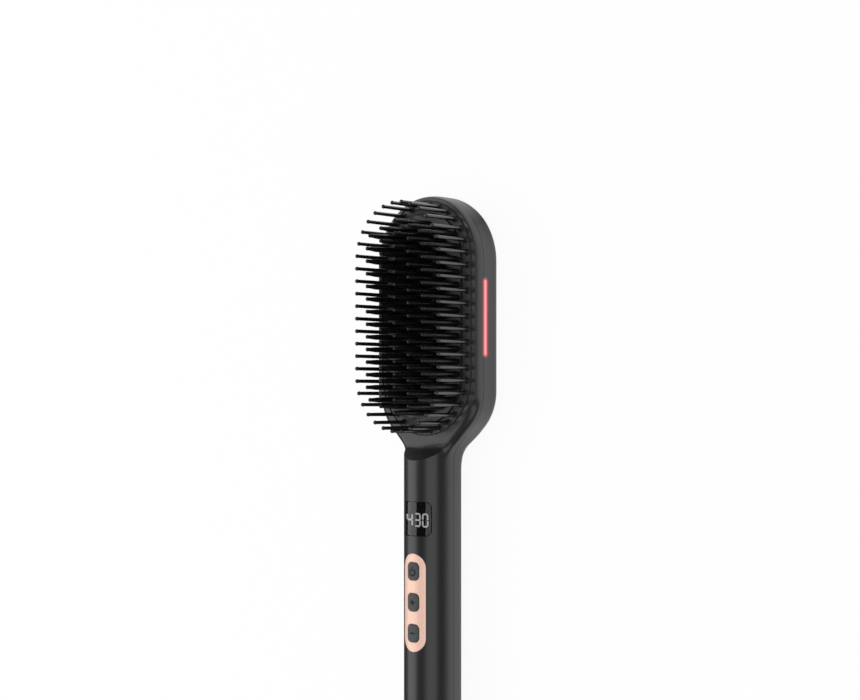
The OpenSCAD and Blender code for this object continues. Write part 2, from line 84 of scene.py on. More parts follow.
# Ramp from the handle down to the face of the head, and how softly its edge is rounded
RAMP_SLOPE, RAMP_BLEND, RAMP_FOOT, RAMP_EDGE = math.radians(58), 7.0, 26.4, 0.5
BUTTON_Y = -54.4
BEZEL_R = GRIP_R + 0.35
KEY_TOP_R = GRIP_R + 0.6
# Holes for the keys, as half widths and corner radius, and a height above everything that is cut
KEY_HOLE_W, KEY_HOLE_L, KEY_HOLE_R, CUT_Z = 3.75, 4.5, 2.45, 32
BAR_LO, BAR_HI, BAR_UNDER = 68.5, 106.5, 12.0
CASE_SPOTS = [(28.6, 61), (-28.6, 61), (28.6, 113), (-28.6, 113), (0, 8), (0, -126)]
FILL_Y = 124.0
BAR_MID_Y, BAR_MID_Z = (BAR_LO + BAR_HI) / 2, (BAR_UNDER + SEAM_Z) / 2
BAR_HALF_LONG, BAR_HALF_WIDE = (BAR_HI - BAR_LO) / 2, (SEAM_Z - BAR_UNDER) / 2
# The camera: tilt in degrees from straight above; distance, sideways offset and place along the part in
# metres; and in pixels its focal length, the picture's width and how far the view is shifted
CAMERA_TILT, CAMERA_FAR, CAMERA_ASIDE, CAMERA_Y = 42.58, 0.8145, 0.00131, 0.046
FOCAL_PX, PICTURE_PX, SHIFT_PX = 1605.9, 860, 51.7
# Soft boxes along the part: degrees from straight up towards +X, half the angle that each fills, radiance
LAMPS = (("left box", -49.5, 24.5, 1.15), ("right box", 37, 23, 0.76))
LAMP_FAR, LAMP_LONG = 1.2, 1.9


def linear(code):
    """An sRGB hex value as a linear colour."""
    parts = [int(code[i : i + 2], 16) / 255 for i in (1, 3, 5)]
    return tuple(c / 12.92 if c <= 0.04045 else ((c + 0.055) / 1.055) ** 2.4 for c in parts)


# ---------------------------------------------------------------- sizes and colours a user would change


def length(name, description, size):
    """A length that a user may change, from its size in millimetres."""
    return FloatProperty(
        name=name, description=description, default=size * MM, unit="LENGTH", subtype="DISTANCE", precision=5)


class TeethSizes(bpy.types.PropertyGroup):
    """Sizes of the pins, blades and caps"""

    pins: IntProperty(name="Pins", description="Number of pins around the edge", default=46, min=40, max=48)
    row_pitch: length("Row pitch", "Distance from one row of teeth to the next", 6.34)
    column_pitch: length("Column pitch", "Distance from one column of blades to the next", 9.5)
    pin_tip: length("Pin tips", "Height of the tips of the pins", 41.7)
    blade_tip: length("Blade tips", "Height of the tips of the blade caps", 43.1)


class ControlSizes(bpy.types.PropertyGroup):
    """Sizes of the keys and the display"""

    key_pitch: length("Key pitch", "Distance from one key to the next", 15.5)
    sign_stroke: length("Sign stroke", "Width of the lines printed on the keys", 0.9)
    digit_height: length("Digit height", "Height of a digit of the display", 7.0)
    reading: IntProperty(name="Reading", description="Number on the display", default=430, min=0, max=999)


class FinishColours(bpy.types.PropertyGroup):
    """Colours of the main finishes"""

    casing: FloatVectorProperty(
        name="Casing", description="Satin moulded plastic of both casing halves", subtype="COLOR",
        default=linear("#232426"), min=0, max=1)
    trim: FloatVectorProperty(
        name="Trim", description="Rose coloured metal around the keys", subtype="COLOR",
        default=linear("#ffd4c0"), min=0, max=1)
    glow: FloatVectorProperty(
        name="Glow", description="Light of the bars at the sides of the head", subtype="COLOR",
        default=linear("#e0484f"), min=0, max=1)


# ---------------------------------------------------------------- materials


def add(tree, kind, sockets=None, **settings):
    """Adds a node with its settings, and sets or links its inputs."""
    n = tree.nodes.new(kind)
    for key, value in settings.items():
        setattr(n, key, value)
    for key, value in (sockets or {}).items():
        if isinstance(value, bpy.types.NodeSocket):
            tree.links.new(value, n.inputs[key])
        else:
            n.inputs[key].default_value = value
    return n


def blank(name):
    """A new material with an empty tree, the tree, and the place on the piece."""
    mat = bpy.data.materials.new(name)
    mat.use_nodes = True
    tree = mat.node_tree
    tree.nodes.clear()
    return mat, tree, add(tree, "ShaderNodeTexCoord").outputs["Object"]


def finish_of(name, colour, second, patch_mm, grain_mm, rough, relief, spread=0.05, **sockets):
    """A finish whose colour drifts between two over patches, and whose gloss and relief follow a grain.

    A colour is an sRGB hex value, or already linear.
    """
    mat, tree, place = blank(name)
    colour, second = (linear(c) if isinstance(c, str) else c for c in (colour, second))
    patch, grain = (
        add(tree, "ShaderNodeTexNoise", {"Vector": place, "Scale": 1 / (size * MM), "Detail": detail})
        for size, detail in ((patch_mm, 3.0), (grain_mm, 4.0)))
    tint = add(
        tree, "ShaderNodeMix", {0: patch.outputs["Fac"], 6: (*colour, 1), 7: (*second, 1)}, data_type="RGBA")
    gloss = add(tree, "ShaderNodeMapRange", {
        "Value": grain.outputs["Fac"], "From Min": 0.3, "From Max": 0.7,
        "To Min": max(rough - spread, 0.02), "To Max": rough + spread})
    bump = add(tree, "ShaderNodeBump", {
        "Height": grain.outputs["Fac"], "Strength": relief, "Distance": 0.15 * grain_mm * MM})
    shader = add(tree, "ShaderNodeBsdfPrincipled", {
        "Base Color": tint.outputs[2], "Roughness": gloss.outputs["Result"],
        "Normal": bump.outputs["Normal"], **sockets})
    add(tree, "ShaderNodeOutputMaterial", {"Surface": shader.outputs["BSDF"]})
    return mat


def off_bar(tree, place):
    """Distance from the middle line of the light bar, seen from the side."""
    part = add(tree, "ShaderNodeSeparateXYZ", {"Vector": place}).outputs
    half = BAR_HALF_LONG - BAR_HALF_WIDE
    from_mid = add(tree, "ShaderNodeMath", {0: part["Y"], 1: BAR_MID_Y * MM}, operation="SUBTRACT")
    far = add(tree, "ShaderNodeMath", {0: from_mid.outputs[0]}, operation="ABSOLUTE")
    past = add(tree, "ShaderNodeMath", {0: far.outputs[0], 1: half * MM}, operation="SUBTRACT")
    along = add(tree, "ShaderNodeMath", {0: past.outputs[0], 1: 0.0}, operation="MAXIMUM")
    across = add(tree, "ShaderNodeMath", {0: part["Z"], 1: BAR_MID_Z * MM}, operation="SUBTRACT")
    flat = add(tree, "ShaderNodeCombineXYZ", {"Y": along.outputs[0], "Z": across.outputs[0]})
    return add(tree, "ShaderNodeVectorMath", {0: flat.outputs[0]}, operation="LENGTH").outputs["Value"]


def paint_bar_glow(mat, colour):
    """A red glow painted as emission into the lacquer round the light bar: painted light standing in for the
    bar's light falling on the casing.
    """
    tree = mat.node_tree
    place = next(n for n in tree.nodes if n.type == "TEX_COORD").outputs["Object"]
    # Painted glow: emission strength on the casing that fades with distance from the light bar
    fade = add(tree, "ShaderNodeMapRange", {
        "Value": off_bar(tree, place), "From Min": 1.1 * MM, "From Max": 2.6 * MM,
        "To Min": 0.55, "To Max": 0.0}, interpolation_type="SMOOTHSTEP")
    aside = add(tree, "ShaderNodeMath", {
        0: add(tree, "ShaderNodeSeparateXYZ", {"Vector": place}).outputs["X"]}, operation="ABSOLUTE")
    outer = add(tree, "ShaderNodeMath", {
        0: aside.outputs[0], 1: (HEAD_R - 0.8) * MM}, operation="GREATER_THAN")
    strength = add(tree, "ShaderNodeMath", {
        0: fade.outputs["Result"], 1: outer.outputs[0]}, operation="MULTIPLY")
    shader = next(n for n in tree.nodes if n.type == "BSDF_PRINCIPLED")
    shader.inputs["Emission Color"].default_value = (*colour, 1)
    tree.links.new(strength.outputs[0], shader.inputs["Emission Strength"])


def glowing(name, colour, core, strength):
    """A frosted diffuser lit from behind: paler and brighter along its middle."""
    mat, tree, place = blank(name)
    middle = add(tree, "ShaderNodeMapRange", {
        "Value": off_bar(tree, place), "From Min": 1.15 * MM, "From Max": 0.5 * MM}, clamp=True)
    frost = add(tree, "ShaderNodeTexNoise", {"Vector": place, "Scale": 1 / (1.2 * MM), "Detail": 2.0})
    tint = add(tree, "ShaderNodeMix", {
        0: middle.outputs["Result"], 6: (*colour, 1), 7: (*core, 1)}, data_type="RGBA")
    relief = add(tree, "ShaderNodeBump", {
        "Height": frost.outputs["Fac"], "Strength": 0.15, "Distance": 0.05 * MM})
    shader = add(tree, "ShaderNodeBsdfPrincipled", {
        "Base Color": (*linear("#501a1e"), 1), "Roughness": 0.4, "Normal": relief.outputs["Normal"],
        "Emission Color": tint.outputs[2], "Emission Strength": strength})
    add(tree, "ShaderNodeOutputMaterial", {"Surface": shader.outputs["BSDF"]})
    return mat


def make_finishes():
    """All finishes, by name.

    A row is the material's name, its two colours, the size of its colour patches and of its grain in
    millimetres, the roughness, the strength of the relief, and sockets of the shader.
    """
    colours = bpy.context.scene.brush_colours
    casing, trim, glow = tuple(colours.casing), tuple(colours.trim), tuple(colours.glow)
    metal = {"Metallic": 1.0}
    table = {
        # ABS from a spark-eroded mould, under a hard satin lacquer: soft wide highlights
        "casing": ("Satin lacquered ABS", casing, tuple(0.88 * c for c in casing), 30, 0.35, 0.3, 0.1, {
            "IOR": 1.7}),
        # Glass-filled nylon, moulded: a little duller than the lacquer
        "plate": ("Moulded nylon plate", "#38393b", "#313234", 14, 0.3, 0.42, 0.18, {"IOR": 1.53}),
        # Nylon bristles, polished by the mould: thin bright lines along them
        "pins": ("Polished nylon", "#1a1a1c", "#131315", 6, 0.4, 0.24, 0.05, {
            "IOR": 1.53, "Coat Weight": 1.0, "Coat Roughness": 0.12}),
        # Aluminium with a sprayed ceramic coat: deep black, a fine orange peel
        "ceramic": ("Ceramic coated aluminium", "#17171a", "#101013", 8, 0.5, 0.26, 0.14, {"IOR": 1.6}),
        # Heat-resistant resin caps, off a polished mould: black with small highlights
        "caps": ("Heat resistant resin", "#141416", "#0e0e10", 5, 0.35, 0.3, 0.08, {"IOR": 1.55}),
        # Die-cast zinc under a rose gold lacquer: mostly pale pink paint, with a little metal in it
        "trim": ("Rose gold lacquered zinc", trim, tuple(0.95 * c for c in trim), 10, 0.3, 0.3, 0.05, {
            "Metallic": 0.15}),
        # Silicone coat over hard keys: matt, no clear highlight
        "keys": ("Soft touch key", "#4b4d4e", "#434546", 5, 0.25, 0.5, 0.15, {"IOR": 1.45}),
        # Ink pressed on with a pad: flat black
        "ink": ("Pad printed ink", "#050506", "#0a0a0b", 2, 0.2, 0.55, 0.1, {"IOR": 1.5}),
        # Smoked acrylic, polished: nearly a mirror, and dark behind it
        "glass": ("Smoked acrylic", "#060607", "#08080a", 12, 2.5, 0.06, 0.01, {
            "spread": 0.01, "IOR": 1.49, "Coat Weight": 1.0, "Coat Roughness": 0.05, "Alpha": 0.75}),
        # Lit segments, evenly white
        "digits": ("Lit display segment", "#f4f6f8", "#e8eef2", 3, 0.5, 0.5, 0.0, {
            "Emission Color": (1, 1, 1, 1), "Emission Strength": 5.0}),
        # Carbon steel, zinc plated: bright and slightly blue
        "steel": ("Zinc plated steel", "#b8bbc0", "#a7abb1", 3, 0.15, 0.34, 0.1, metal),
        # Fired alumina: chalky off-white
        "alumina": ("Fired alumina", "#e6e2d8", "#d8d3c6", 6, 0.2, 0.6, 0.2, {"IOR": 1.7}),
        # Cast and machined aluminium: a soft grey sheen
        "aluminium": ("Machined aluminium", "#b3b5b8", "#9fa2a6", 5, 0.25, 0.4, 0.2, metal),
        # Circuit board under a green solder mask: an even gloss
        "board": ("Solder masked laminate", "#1d5a39", "#174c30", 4, 0.4, 0.38, 0.15, {"IOR": 1.55}),
        # Moulded silicone rubber: dark grey and dull
        "silicone": ("Moulded silicone", "#3c3d40", "#343538", 8, 0.3, 0.55, 0.12, {"IOR": 1.41}),
        # Tinted polypropylene: lets light through, with a waxy gloss
        "tank": ("Clear blue polypropylene", "#9fb6c2", "#8ba5b3", 12, 0.5, 0.3, 0.08, {
            "IOR": 1.49, "Alpha": 0.6}),
        # Rolled spring brass: warm and bright
        "brass": ("Spring brass", "#d0a050", "#b98a40", 3, 0.2, 0.32, 0.1, metal),
        # Glass fibre sleeve over the heater leads: rough and pale
        "sleeve": ("Woven glass sleeve", "#d9d4c7", "#c6c0b2", 1.5, 0.35, 0.8, 0.4, {"IOR": 1.5}),
        # Nylon parts that carry heat or turn: matt, off the tool
        "nylon": ("Matt black nylon", "#222325", "#1b1c1e", 10, 0.35, 0.45, 0.18, {"IOR": 1.53}),
    }
    made = {key: finish_of(*row, **sockets) for key, (*row, sockets) in table.items()}
    # Painted red glow of the light bars on the casing round them
    paint_bar_glow(made["casing"], glow)
    # Frosted polycarbonate: a soft pink light, redder towards its edge
    made["glow"] = glowing("Frosted polycarbonate diffuser", glow, linear("#ffa6a6"), 0.92)
    return made


FINISHES = {}
# Finish of each node that is shown as the CAD made it
CARRIED_OVER = {
    "heater_strips": "alumina", "heater_carrier": "nylon", "carrier_screws": "steel",
    "steam_block": "aluminium",
    "steam_tube": "silicone", "micro_pump": "nylon", "feed_tube": "silicone", "water_tank": "tank",
    "temperature_sensor": "steel", "thermal_fuse": "alumina", "led_board_right": "board",
    "led_board_left": "board", "display_module": "nylon", "control_board": "board", "tact_switches": "steel",
    "board_screws": "steel", "power_board": "board", "heater_leads": "sleeve", "case_screws": "steel",
    "slip_contacts": "brass",
}


# ---------------------------------------------------------------- meshes


def make(name, points, faces, sharp=32.0, merge=False):
    """A closed mesh from points in millimetres, with its faces turned outwards."""
    mesh = bpy.data.meshes.new(name)
    mesh.from_pydata([(x * MM, y * MM, z * MM) for x, y, z in points], [], faces)
    bm = bmesh.new()
    bm.from_mesh(mesh)
    if merge:
        bmesh.ops.remove_doubles(bm, verts=bm.verts, dist=1e-6)
    bmesh.ops.recalc_face_normals(bm, faces=bm.faces)
    bm.to_mesh(mesh)
    bm.free()
    obj = bpy.data.objects.new(name, mesh)
    bpy.context.scene.collection.objects.link(obj)
    soften(obj, sharp)
    return obj


def soften(obj, degrees):
    """Smooth shading, with edges sharper than that left crisp."""
    obj.data.shade_smooth()
    obj.data.set_sharp_from_angle(angle=math.radians(degrees))


def bake(obj):
    """Turns what the modifiers make into the object's own mesh."""
    graph = bpy.context.evaluated_depsgraph_get()
    graph.update()
    mesh = bpy.data.meshes.new_from_object(obj.evaluated_get(graph), depsgraph=graph)
    obj.modifiers.clear()
    obj.data = mesh
    return obj


def carve(obj, tools, operation="DIFFERENCE"):
    """Cuts the tools from a piece, or joins or intersects them with it, and takes the tools away."""
    for tool in tools:
        mod = obj.modifiers.new("carve", "BOOLEAN")
        mod.operation, mod.solver, mod.object = operation, "MANIFOLD", tool
        bake(obj)
        bpy.data.objects.remove(tool)
    return obj


def done(obj, finish, body, *nodes, slot=None):
    """Gives a finished piece its finish and body, and hides the CAD nodes that it stands for."""
    obj.data.materials.clear()
    obj.data.materials.append(FINISHES[finish])
    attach(obj, body)
    if nodes:
        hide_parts(*nodes)
    return obj


def both_sides(right, apex=True):
    """A loop from its right half, going up the right side and down the left."""
    left = right[::-1][1:] if apex else right[::-1]
    return right + [(-x, *rest) for x, *rest in left]


def mirrored(right):
    """The same for points with an inward direction."""
    return right + [(-x, y, -nx, ny) for x, y, nx, ny in right[::-1][1:]]


def loft(name, levels, sharp=32.0):
    """A closed solid through loops that mirror about X = 0, with strips across both ends."""
    n, m = len(levels[0]), len(levels)
    faces = []
    for i in range((n + 1) // 2 - 1):
        strip = (i, i + 1, n - 1 - i) if i + 1 == n - 2 - i else (i, i + 1, n - 2 - i, n - 1 - i)
        faces += [strip, tuple((m - 1) * n + k for k in reversed(strip))]
    for j in range(m - 1):
        for i in range(n):
            k = (i + 1) % n
            faces.append((j * n + k, j * n + i, (j + 1) * n + i, (j + 1) * n + k))
    return make(name, [p for level in levels for p in level], faces, sharp)


def prism(name, loop, z0, z1):
    """A prism over a mirrored loop of (x, y)."""
    return loft(name, [[(x, y, z) for x, y in loop] for z in (z0, z1)])


def side_prism(name, loop, x0, x1):
    """A prism along X over a loop of (y, z)."""
    n = len(loop)
    points = [(x, y, z) for x in (x0, x1) for y, z in loop]
    faces = [tuple(range(n)), tuple(range(2 * n - 1, n - 1, -1))]
    faces += [(i, n + i, n + (i + 1) % n, (i + 1) % n) for i in range(n)]
    return make(name, points, faces)


def turned(name, profile, centre, axis="Z", segments=96, sharp=32.0, closed=True):
    """A turned solid: profile is (radius, height) along the axis from the centre."""
    points, faces = [], []
    for r, h in profile:
        for i in range(segments):
            t = 2 * math.pi * i / segments
            a, b = r * math.cos(t), r * math.sin(t)
            offset = (a, b, h) if axis == "Z" else (a, h, b)
            points.append(tuple(c + o for c, o in zip(centre, offset)))
    rows = len(profile)
    for j in range(rows if closed else rows - 1):
        k = (j + 1) % rows
        for i in range(segments):
            n = (i + 1) % segments
            faces.append((j * segments + i, j * segments + n, k * segments + n, k * segments + i))
    return make(name, points, faces, sharp, merge=True)


def rod(name, r, x, y, z0, z1, segments=48):
    """A plain round cutter or pillar along Z."""
    return turned(name, [(0, z0), (r, z0), (r, z1), (0, z1)], (x, y, 0), segments=segments, closed=False)


def along_y(name, r, y0, y1, segments=192):
    """A plain round bar along the handle's axis."""
    return turned(name, [(0, y0), (r, y0), (r, y1), (0, y1)], (0, 0, SEAM_Z), "Y", segments, closed=False)


def smooth_step(t):
    """Eases from 0 to 1 as t goes from 0 to 1, and stays flat outside."""
    t = min(1.0, max(0.0, t))
    return t * t * (3 - 2 * t)


def mix(a, b, t):
    """A value at share t of the way from a to b."""
    return a + (b - a) * t


def lower(a, b, width):
    """The lower of two heights, rounded where they cross."""
    return min(a, b) - max(width - abs(a - b), 0) ** 2 / (4 * width)


def arc(cx, cy, r, start, stop, steps, side):
    """Points along an arc in degrees, each with its inward direction: side is -1 where that is the centre."""
    out = []
    for i in range(steps + 1):
        t = math.radians(start + (stop - start) * i / steps)
        out.append((cx + r * math.cos(t), cy + r * math.sin(t), side * math.cos(t), side * math.sin(t)))
    return out


def line(a, b, steps):
    """Points between two, without the ends."""
    return [
        (a[0] + (b[0] - a[0]) * i / steps, a[1] + (b[1] - a[1]) * i / steps, a[2], a[3])
        for i in range(1, steps)
    ]


def seam_outline(y0=None):
    """The seam seen from the front, as (x, y, inward x, inward y), from y0 on."""
    hollow = arc(NECK_X, NECK_Y, NECK_R, 180, 174, 12, 1) + arc(NECK_X, NECK_Y, NECK_R, 174, 135, 26, 1)[1:]
    shoulder = arc(SHOULDER_X, SHOULDER_Y, SHOULDER_R, -45, 0, 18, -1)
    top = arc(0, TOP_Y, HEAD_R, 0, 90, 45, -1)
    right = hollow + line(hollow[-1], shoulder[0], 20) + shoulder + line(shoulder[-1], top[0], 24) + top
    if y0 is not None:
        stations = (y0, BACK_FROM, NECK_FROM, 15, 16, 16.2, 16.35, 16.5)
        right = [(GRIP_R, y, -1.0, 0.0) for y in stations] + right
    return mirrored(right)


def back_round(y):
    """Radius of the rounded edge round the back, at a place along the outline."""
    return mix(GRIP_R - 0.1, BACK_EDGE, smooth_step((y - BACK_FROM) / BACK_BLEND))


def scoop_z(y):
    """Height of the scoop at a place along the handle: the ramp, its blend, and the face of the head."""
    reach, slope = RAMP_BLEND * math.sin(RAMP_SLOPE), math.tan(RAMP_SLOPE)
    if y < RAMP_FOOT - reach:
        return FACE_Z + RAMP_BLEND * (1 - math.cos(RAMP_SLOPE)) + (RAMP_FOOT - reach - y) * slope
    return FACE_Z + RAMP_BLEND - math.sqrt(RAMP_BLEND**2 - max(RAMP_FOOT - y, 0) ** 2)


def front_point(p, v):
    """A point of the front before the scoop, at share v of the way from the seam up to the crown."""
    x, y, nx, ny = p
    on_neck, on_head = smooth_step((y - NECK_FROM) / NECK_BLEND), smooth_step((y - HEAD_FROM) / HEAD_BLEND)
    power, tall, wide = 2 / (2 + on_neck), mix(GRIP_R, DOME_H, on_neck), min(abs(x), DOME_W)
    u, turn = math.radians(88 * v), math.radians(60 * v)
    drawn = wide * (1 - math.cos(u) ** power)
    height = tall * math.sin(u) ** power
    if 0 < on_neck < 1 and abs(x) - drawn < GRIP_R:
        # The handle runs on into the ramp
        height = -lower(-height, -math.sqrt(GRIP_R**2 - (abs(x) - drawn) ** 2), on_neck)
    drawn = mix(drawn, WALL_LEAN * (1 - math.cos(turn)), on_head)
    height = mix(height, WALL_RISE * math.sin(turn), on_head)
    if y < SHOULDER_Y:
        return x - math.copysign(drawn, x), y, SEAM_Z + height
    return x + drawn * nx, y + drawn * ny, SEAM_Z + height


def share_at(p, over):
    """How far up the front it is that much higher than the scoop."""
    low, high = 0.0, 1.0
    for _ in range(24):
        v = (low + high) / 2
        _, y, z = front_point(p, v)
        low, high = (v, high) if z - scoop_z(y) < over else (low, v)
    return high


def front_levels(outline):
    """Loops up the front, close together where the rounded edge of the scoop passes."""
    columns = []
    for p in outline:
        a, b = min(share_at(p, -RAMP_EDGE), 0.8), min(share_at(p, RAMP_EDGE), 0.93)
        shares = [a * (i / 20) ** 1.3 for i in range(21)]
        shares += [mix(a, b, i / 10) for i in range(1, 11)] + [mix(b, 1, i / 14) for i in range(1, 15)]
        points = [front_point(p, v) for v in shares]
        columns.append([(x, y, lower(z, scoop_z(y), RAMP_EDGE)) for x, y, z in points])
    return [list(level) for level in zip(*columns)]


def back_wall(y, w, top_z):
    """(inset, z) from the flat back up to top_z, made smaller by w."""
    r = back_round(y) - w
    out = []
    for i in range(25):
        t = math.radians(90 - 3.75 * i)
        out.append((w + r * (1 - math.cos(t)), w + r * (1 - math.sin(t))))
    return out + [(w, top_z)]


def wrap(outline, wall_at):
    """Levels of points around an outline, from the wall's (inset, z) at each point."""
    walls = [wall_at(p[1]) for p in outline]
    return [
        [(p[0] + w[j][0] * p[2], p[1] + w[j][0] * p[3], w[j][1]) for p, w in zip(outline, walls)]
        for j in range(len(walls[0]))
    ]


def inset_loop(outline, d):
    """The outline moved inwards, or outwards where d is below zero, as (x, y)."""
    return [(x + d * nx, y + d * ny) for x, y, nx, ny in outline]


def stadium(r, steps=24):
    """The outline of the bristle plate at radius r."""
    half = 90 / steps / 2
    right = []
    for y, start in ((RING_LO, -90), (RING_HI, 0)):
        for i in range(steps):
            t = math.radians(start + half + i * 90 / steps)
            right.append((r * math.cos(t), y + r * math.sin(t)))
    return both_sides(right, apex=False)


def pad(name, half, y0, y1, corner, layers, columns=24, sharp=32.0):
    """A rounded plate that follows the handle. A layer is (inset, radius), or (inset, None, z) where flat."""

    def grid(inset):
        h, a, b = half - inset, y0 + inset, y1 - inset
        c = min(max(corner - inset, 0.05), h - 0.05)
        rows = []
        for i in range(9):
            t = math.pi / 2 * i / 8
            rows.append((h - c + c * math.sin(t), a + c * (1 - math.cos(t))))
        far = [(w, a + b - y) for w, y in reversed(rows)]
        middle = [(h, rows[-1][1] + (far[0][1] - rows[-1][1]) * i / 6) for i in range(1, 6)]
        return [[(w * (2 * j / columns - 1), y) for j in range(columns + 1)] for w, y in rows + middle + far]

    def lift(x, layer):
        return layer[2] if layer[1] is None else SEAM_Z + math.sqrt(layer[1] ** 2 - x * x)

    rows = len(grid(0))
    wide = columns + 1
    rim = (
        [(0, j) for j in range(wide)] + [(i, columns) for i in range(1, rows)]
        + [(rows - 1, j) for j in range(columns - 1, -1, -1)] + [(i, 0) for i in range(rows - 2, 0, -1)]
    )
    points, faces, loops = [], [], []
    for end in (0, len(layers) - 1):
        base, g = len(points), grid(layers[end][0])
        points += [(x, y, lift(x, layers[end])) for row in g for x, y in row]
        faces += [
            (base + i * wide + j, base + i * wide + j + 1,
             base + (i + 1) * wide + j + 1, base + (i + 1) * wide + j)
            for i in range(rows - 1) for j in range(columns)
        ]
        loops.append([base + i * wide + j for i, j in rim])
    for layer in layers[1:-1]:
        base, g = len(points), grid(layer[0])
        points += [(g[i][j][0], g[i][j][1], lift(g[i][j][0], layer)) for i, j in rim]
        loops.insert(-1, [base + k for k in range(len(rim))])
    for a, b in zip(loops, loops[1:]):
        faces += [(a[k], a[(k + 1) % len(a)], b[(k + 1) % len(a)], b[k]) for k in range(len(a))]
    return make(name, points, faces, sharp)


def stroke(name, path, width, top, bottom):
    """A printed line on the handle's curve: path is (x, y) points, top and bottom are radii."""
    path = [Vector(p) for p in path]
    points, faces = [], []
    for i, p in enumerate(path):
        ahead = (path[min(i + 1, len(path) - 1)] - path[max(i - 1, 0)]).normalized()
        side = Vector((-ahead.y, ahead.x)) * width / 2
        for q in (p + side, p - side):
            for r in (top, bottom):
                points.append((q.x, q.y, SEAM_Z + math.sqrt(r * r - q.x * q.x)))
    for i in range(len(path) - 1):
        a, b = 4 * i, 4 * i + 4
        faces += [(a, a + 2, b + 2, b), (a + 1, b + 1, b + 3, a + 3),
                  (a, b, b + 1, a + 1), (a + 2, a + 3, b + 3, b + 2)]
    end = 4 * len(path) - 4
    faces += [(0, 1, 3, 2), (end, end + 2, end + 3, end + 1)]
    return make(name, points, faces)


def join(name, pieces):
    """One object from several meshes that don't touch."""
    bm = bmesh.new()
    for piece in pieces:
        bm.from_mesh(piece.data)
        bpy.data.objects.remove(piece)
    mesh = bpy.data.meshes.new(name)
    bm.to_mesh(mesh)
    bm.free()
    obj = bpy.data.objects.new(name, mesh)
    bpy.context.scene.collection.objects.link(obj)
    return obj


# ---------------------------------------------------------------- geometry nodes


def new_tree(name, inputs):
    """An empty geometry node tree with named inputs, and its input and output nodes."""
    tree = bpy.data.node_groups.new(name, "GeometryNodeTree")
    tree.interface.new_socket("Geometry", in_out="INPUT", socket_type="NodeSocketGeometry")
    for label, kind in inputs:
        tree.interface.new_socket(label, in_out="INPUT", socket_type=kind)
    tree.interface.new_socket("Geometry", in_out="OUTPUT", socket_type="NodeSocketGeometry")
    return tree, add(tree, "NodeGroupInput"), add(tree, "NodeGroupOutput")


def grid_tree():
    """Sets a tooth on each place of a grid, counted in columns and rows. Marked places get the end tooth."""
    tree, given, out = new_tree("Teeth in rows", [
        ("Tooth", "NodeSocketObject"), ("End tooth", "NodeSocketObject"), ("Column pitch", "NodeSocketFloat"),
        ("Row pitch", "NodeSocketFloat"), ("First row", "NodeSocketFloat"), ("Finish", "NodeSocketMaterial")])
    given = given.outputs
    pitch = add(tree, "ShaderNodeCombineXYZ", {"X": given["Column pitch"], "Y": given["Row pitch"]})
    start = add(tree, "ShaderNodeCombineXYZ", {"Y": given["First row"]})
    place = add(tree, "ShaderNodeVectorMath", {
        0: add(tree, "GeometryNodeInputPosition").outputs[0], 1: pitch.outputs[0], 2: start.outputs[0]},
        operation="MULTIPLY_ADD")
    spots = add(tree, "GeometryNodeSetPosition", {
        "Geometry": given["Geometry"], "Position": place.outputs[0]})
    end = add(tree, "GeometryNodeInputNamedAttribute", {"Name": "end"}, data_type="BOOLEAN")
    inner = add(tree, "FunctionNodeBooleanMath", {0: end.outputs["Attribute"]}, operation="NOT")
    both = add(tree, "GeometryNodeJoinGeometry")
    for tooth, chosen in (("Tooth", inner.outputs[0]), ("End tooth", end.outputs["Attribute"])):
        shape = add(tree, "GeometryNodeObjectInfo", {"Object": given[tooth], "As Instance": True})
        set_up = add(tree, "GeometryNodeInstanceOnPoints", {
            "Points": spots.outputs["Geometry"], "Selection": chosen, "Instance": shape.outputs["Geometry"]})
        tree.links.new(set_up.outputs["Instances"], both.inputs[0])
    real = add(tree, "GeometryNodeRealizeInstances", {"Geometry": both.outputs[0]})
    painted = add(tree, "GeometryNodeSetMaterial", {"Geometry": real.outputs[0], "Material": given["Finish"]})
    tree.links.new(painted.outputs[0], out.inputs[0])
    return tree


def path_tree():
    """Sets a pin at even steps along a closed path."""
    tree, given, out = new_tree("Pins along the edge", [
        ("Pin", "NodeSocketObject"), ("Pins", "NodeSocketInt"), ("Finish", "NodeSocketMaterial")])
    given = given.outputs
    path = add(tree, "GeometryNodeMeshToCurve", {"Mesh": given["Geometry"]})
    count = add(tree, "GeometryNodeInputIndex").outputs[0]
    middle = add(tree, "ShaderNodeMath", {0: count, 1: 0.5}, operation="ADD")
    share = add(tree, "ShaderNodeMath", {0: middle.outputs[0], 1: given["Pins"]}, operation="DIVIDE")
    spot = add(tree, "GeometryNodeSampleCurve", {
        "Curves": path.outputs[0], "Factor": share.outputs[0]}, mode="FACTOR")
    places = add(tree, "GeometryNodePoints", {"Count": given["Pins"], "Position": spot.outputs["Position"]})
    shape = add(tree, "GeometryNodeObjectInfo", {"Object": given["Pin"], "As Instance": True})
    set_up = add(tree, "GeometryNodeInstanceOnPoints", {
        "Points": places.outputs[0], "Instance": shape.outputs["Geometry"]})
    real = add(tree, "GeometryNodeRealizeInstances", {"Geometry": set_up.outputs[0]})
    painted = add(tree, "GeometryNodeSetMaterial", {"Geometry": real.outputs[0], "Material": given["Finish"]})
    tree.links.new(painted.outputs[0], out.inputs[0])
    return tree


def grow(obj, tree, values):
    """Runs a tree on an object with its inputs set by name, and keeps the mesh."""
    mod = obj.modifiers.new(tree.name, "NODES")
    mod.node_group = tree
    for item in tree.interface.items_tree:
        if item.in_out == "INPUT" and item.name in values:
            mod[item.identifier] = values[item.name]
    return bake(obj)


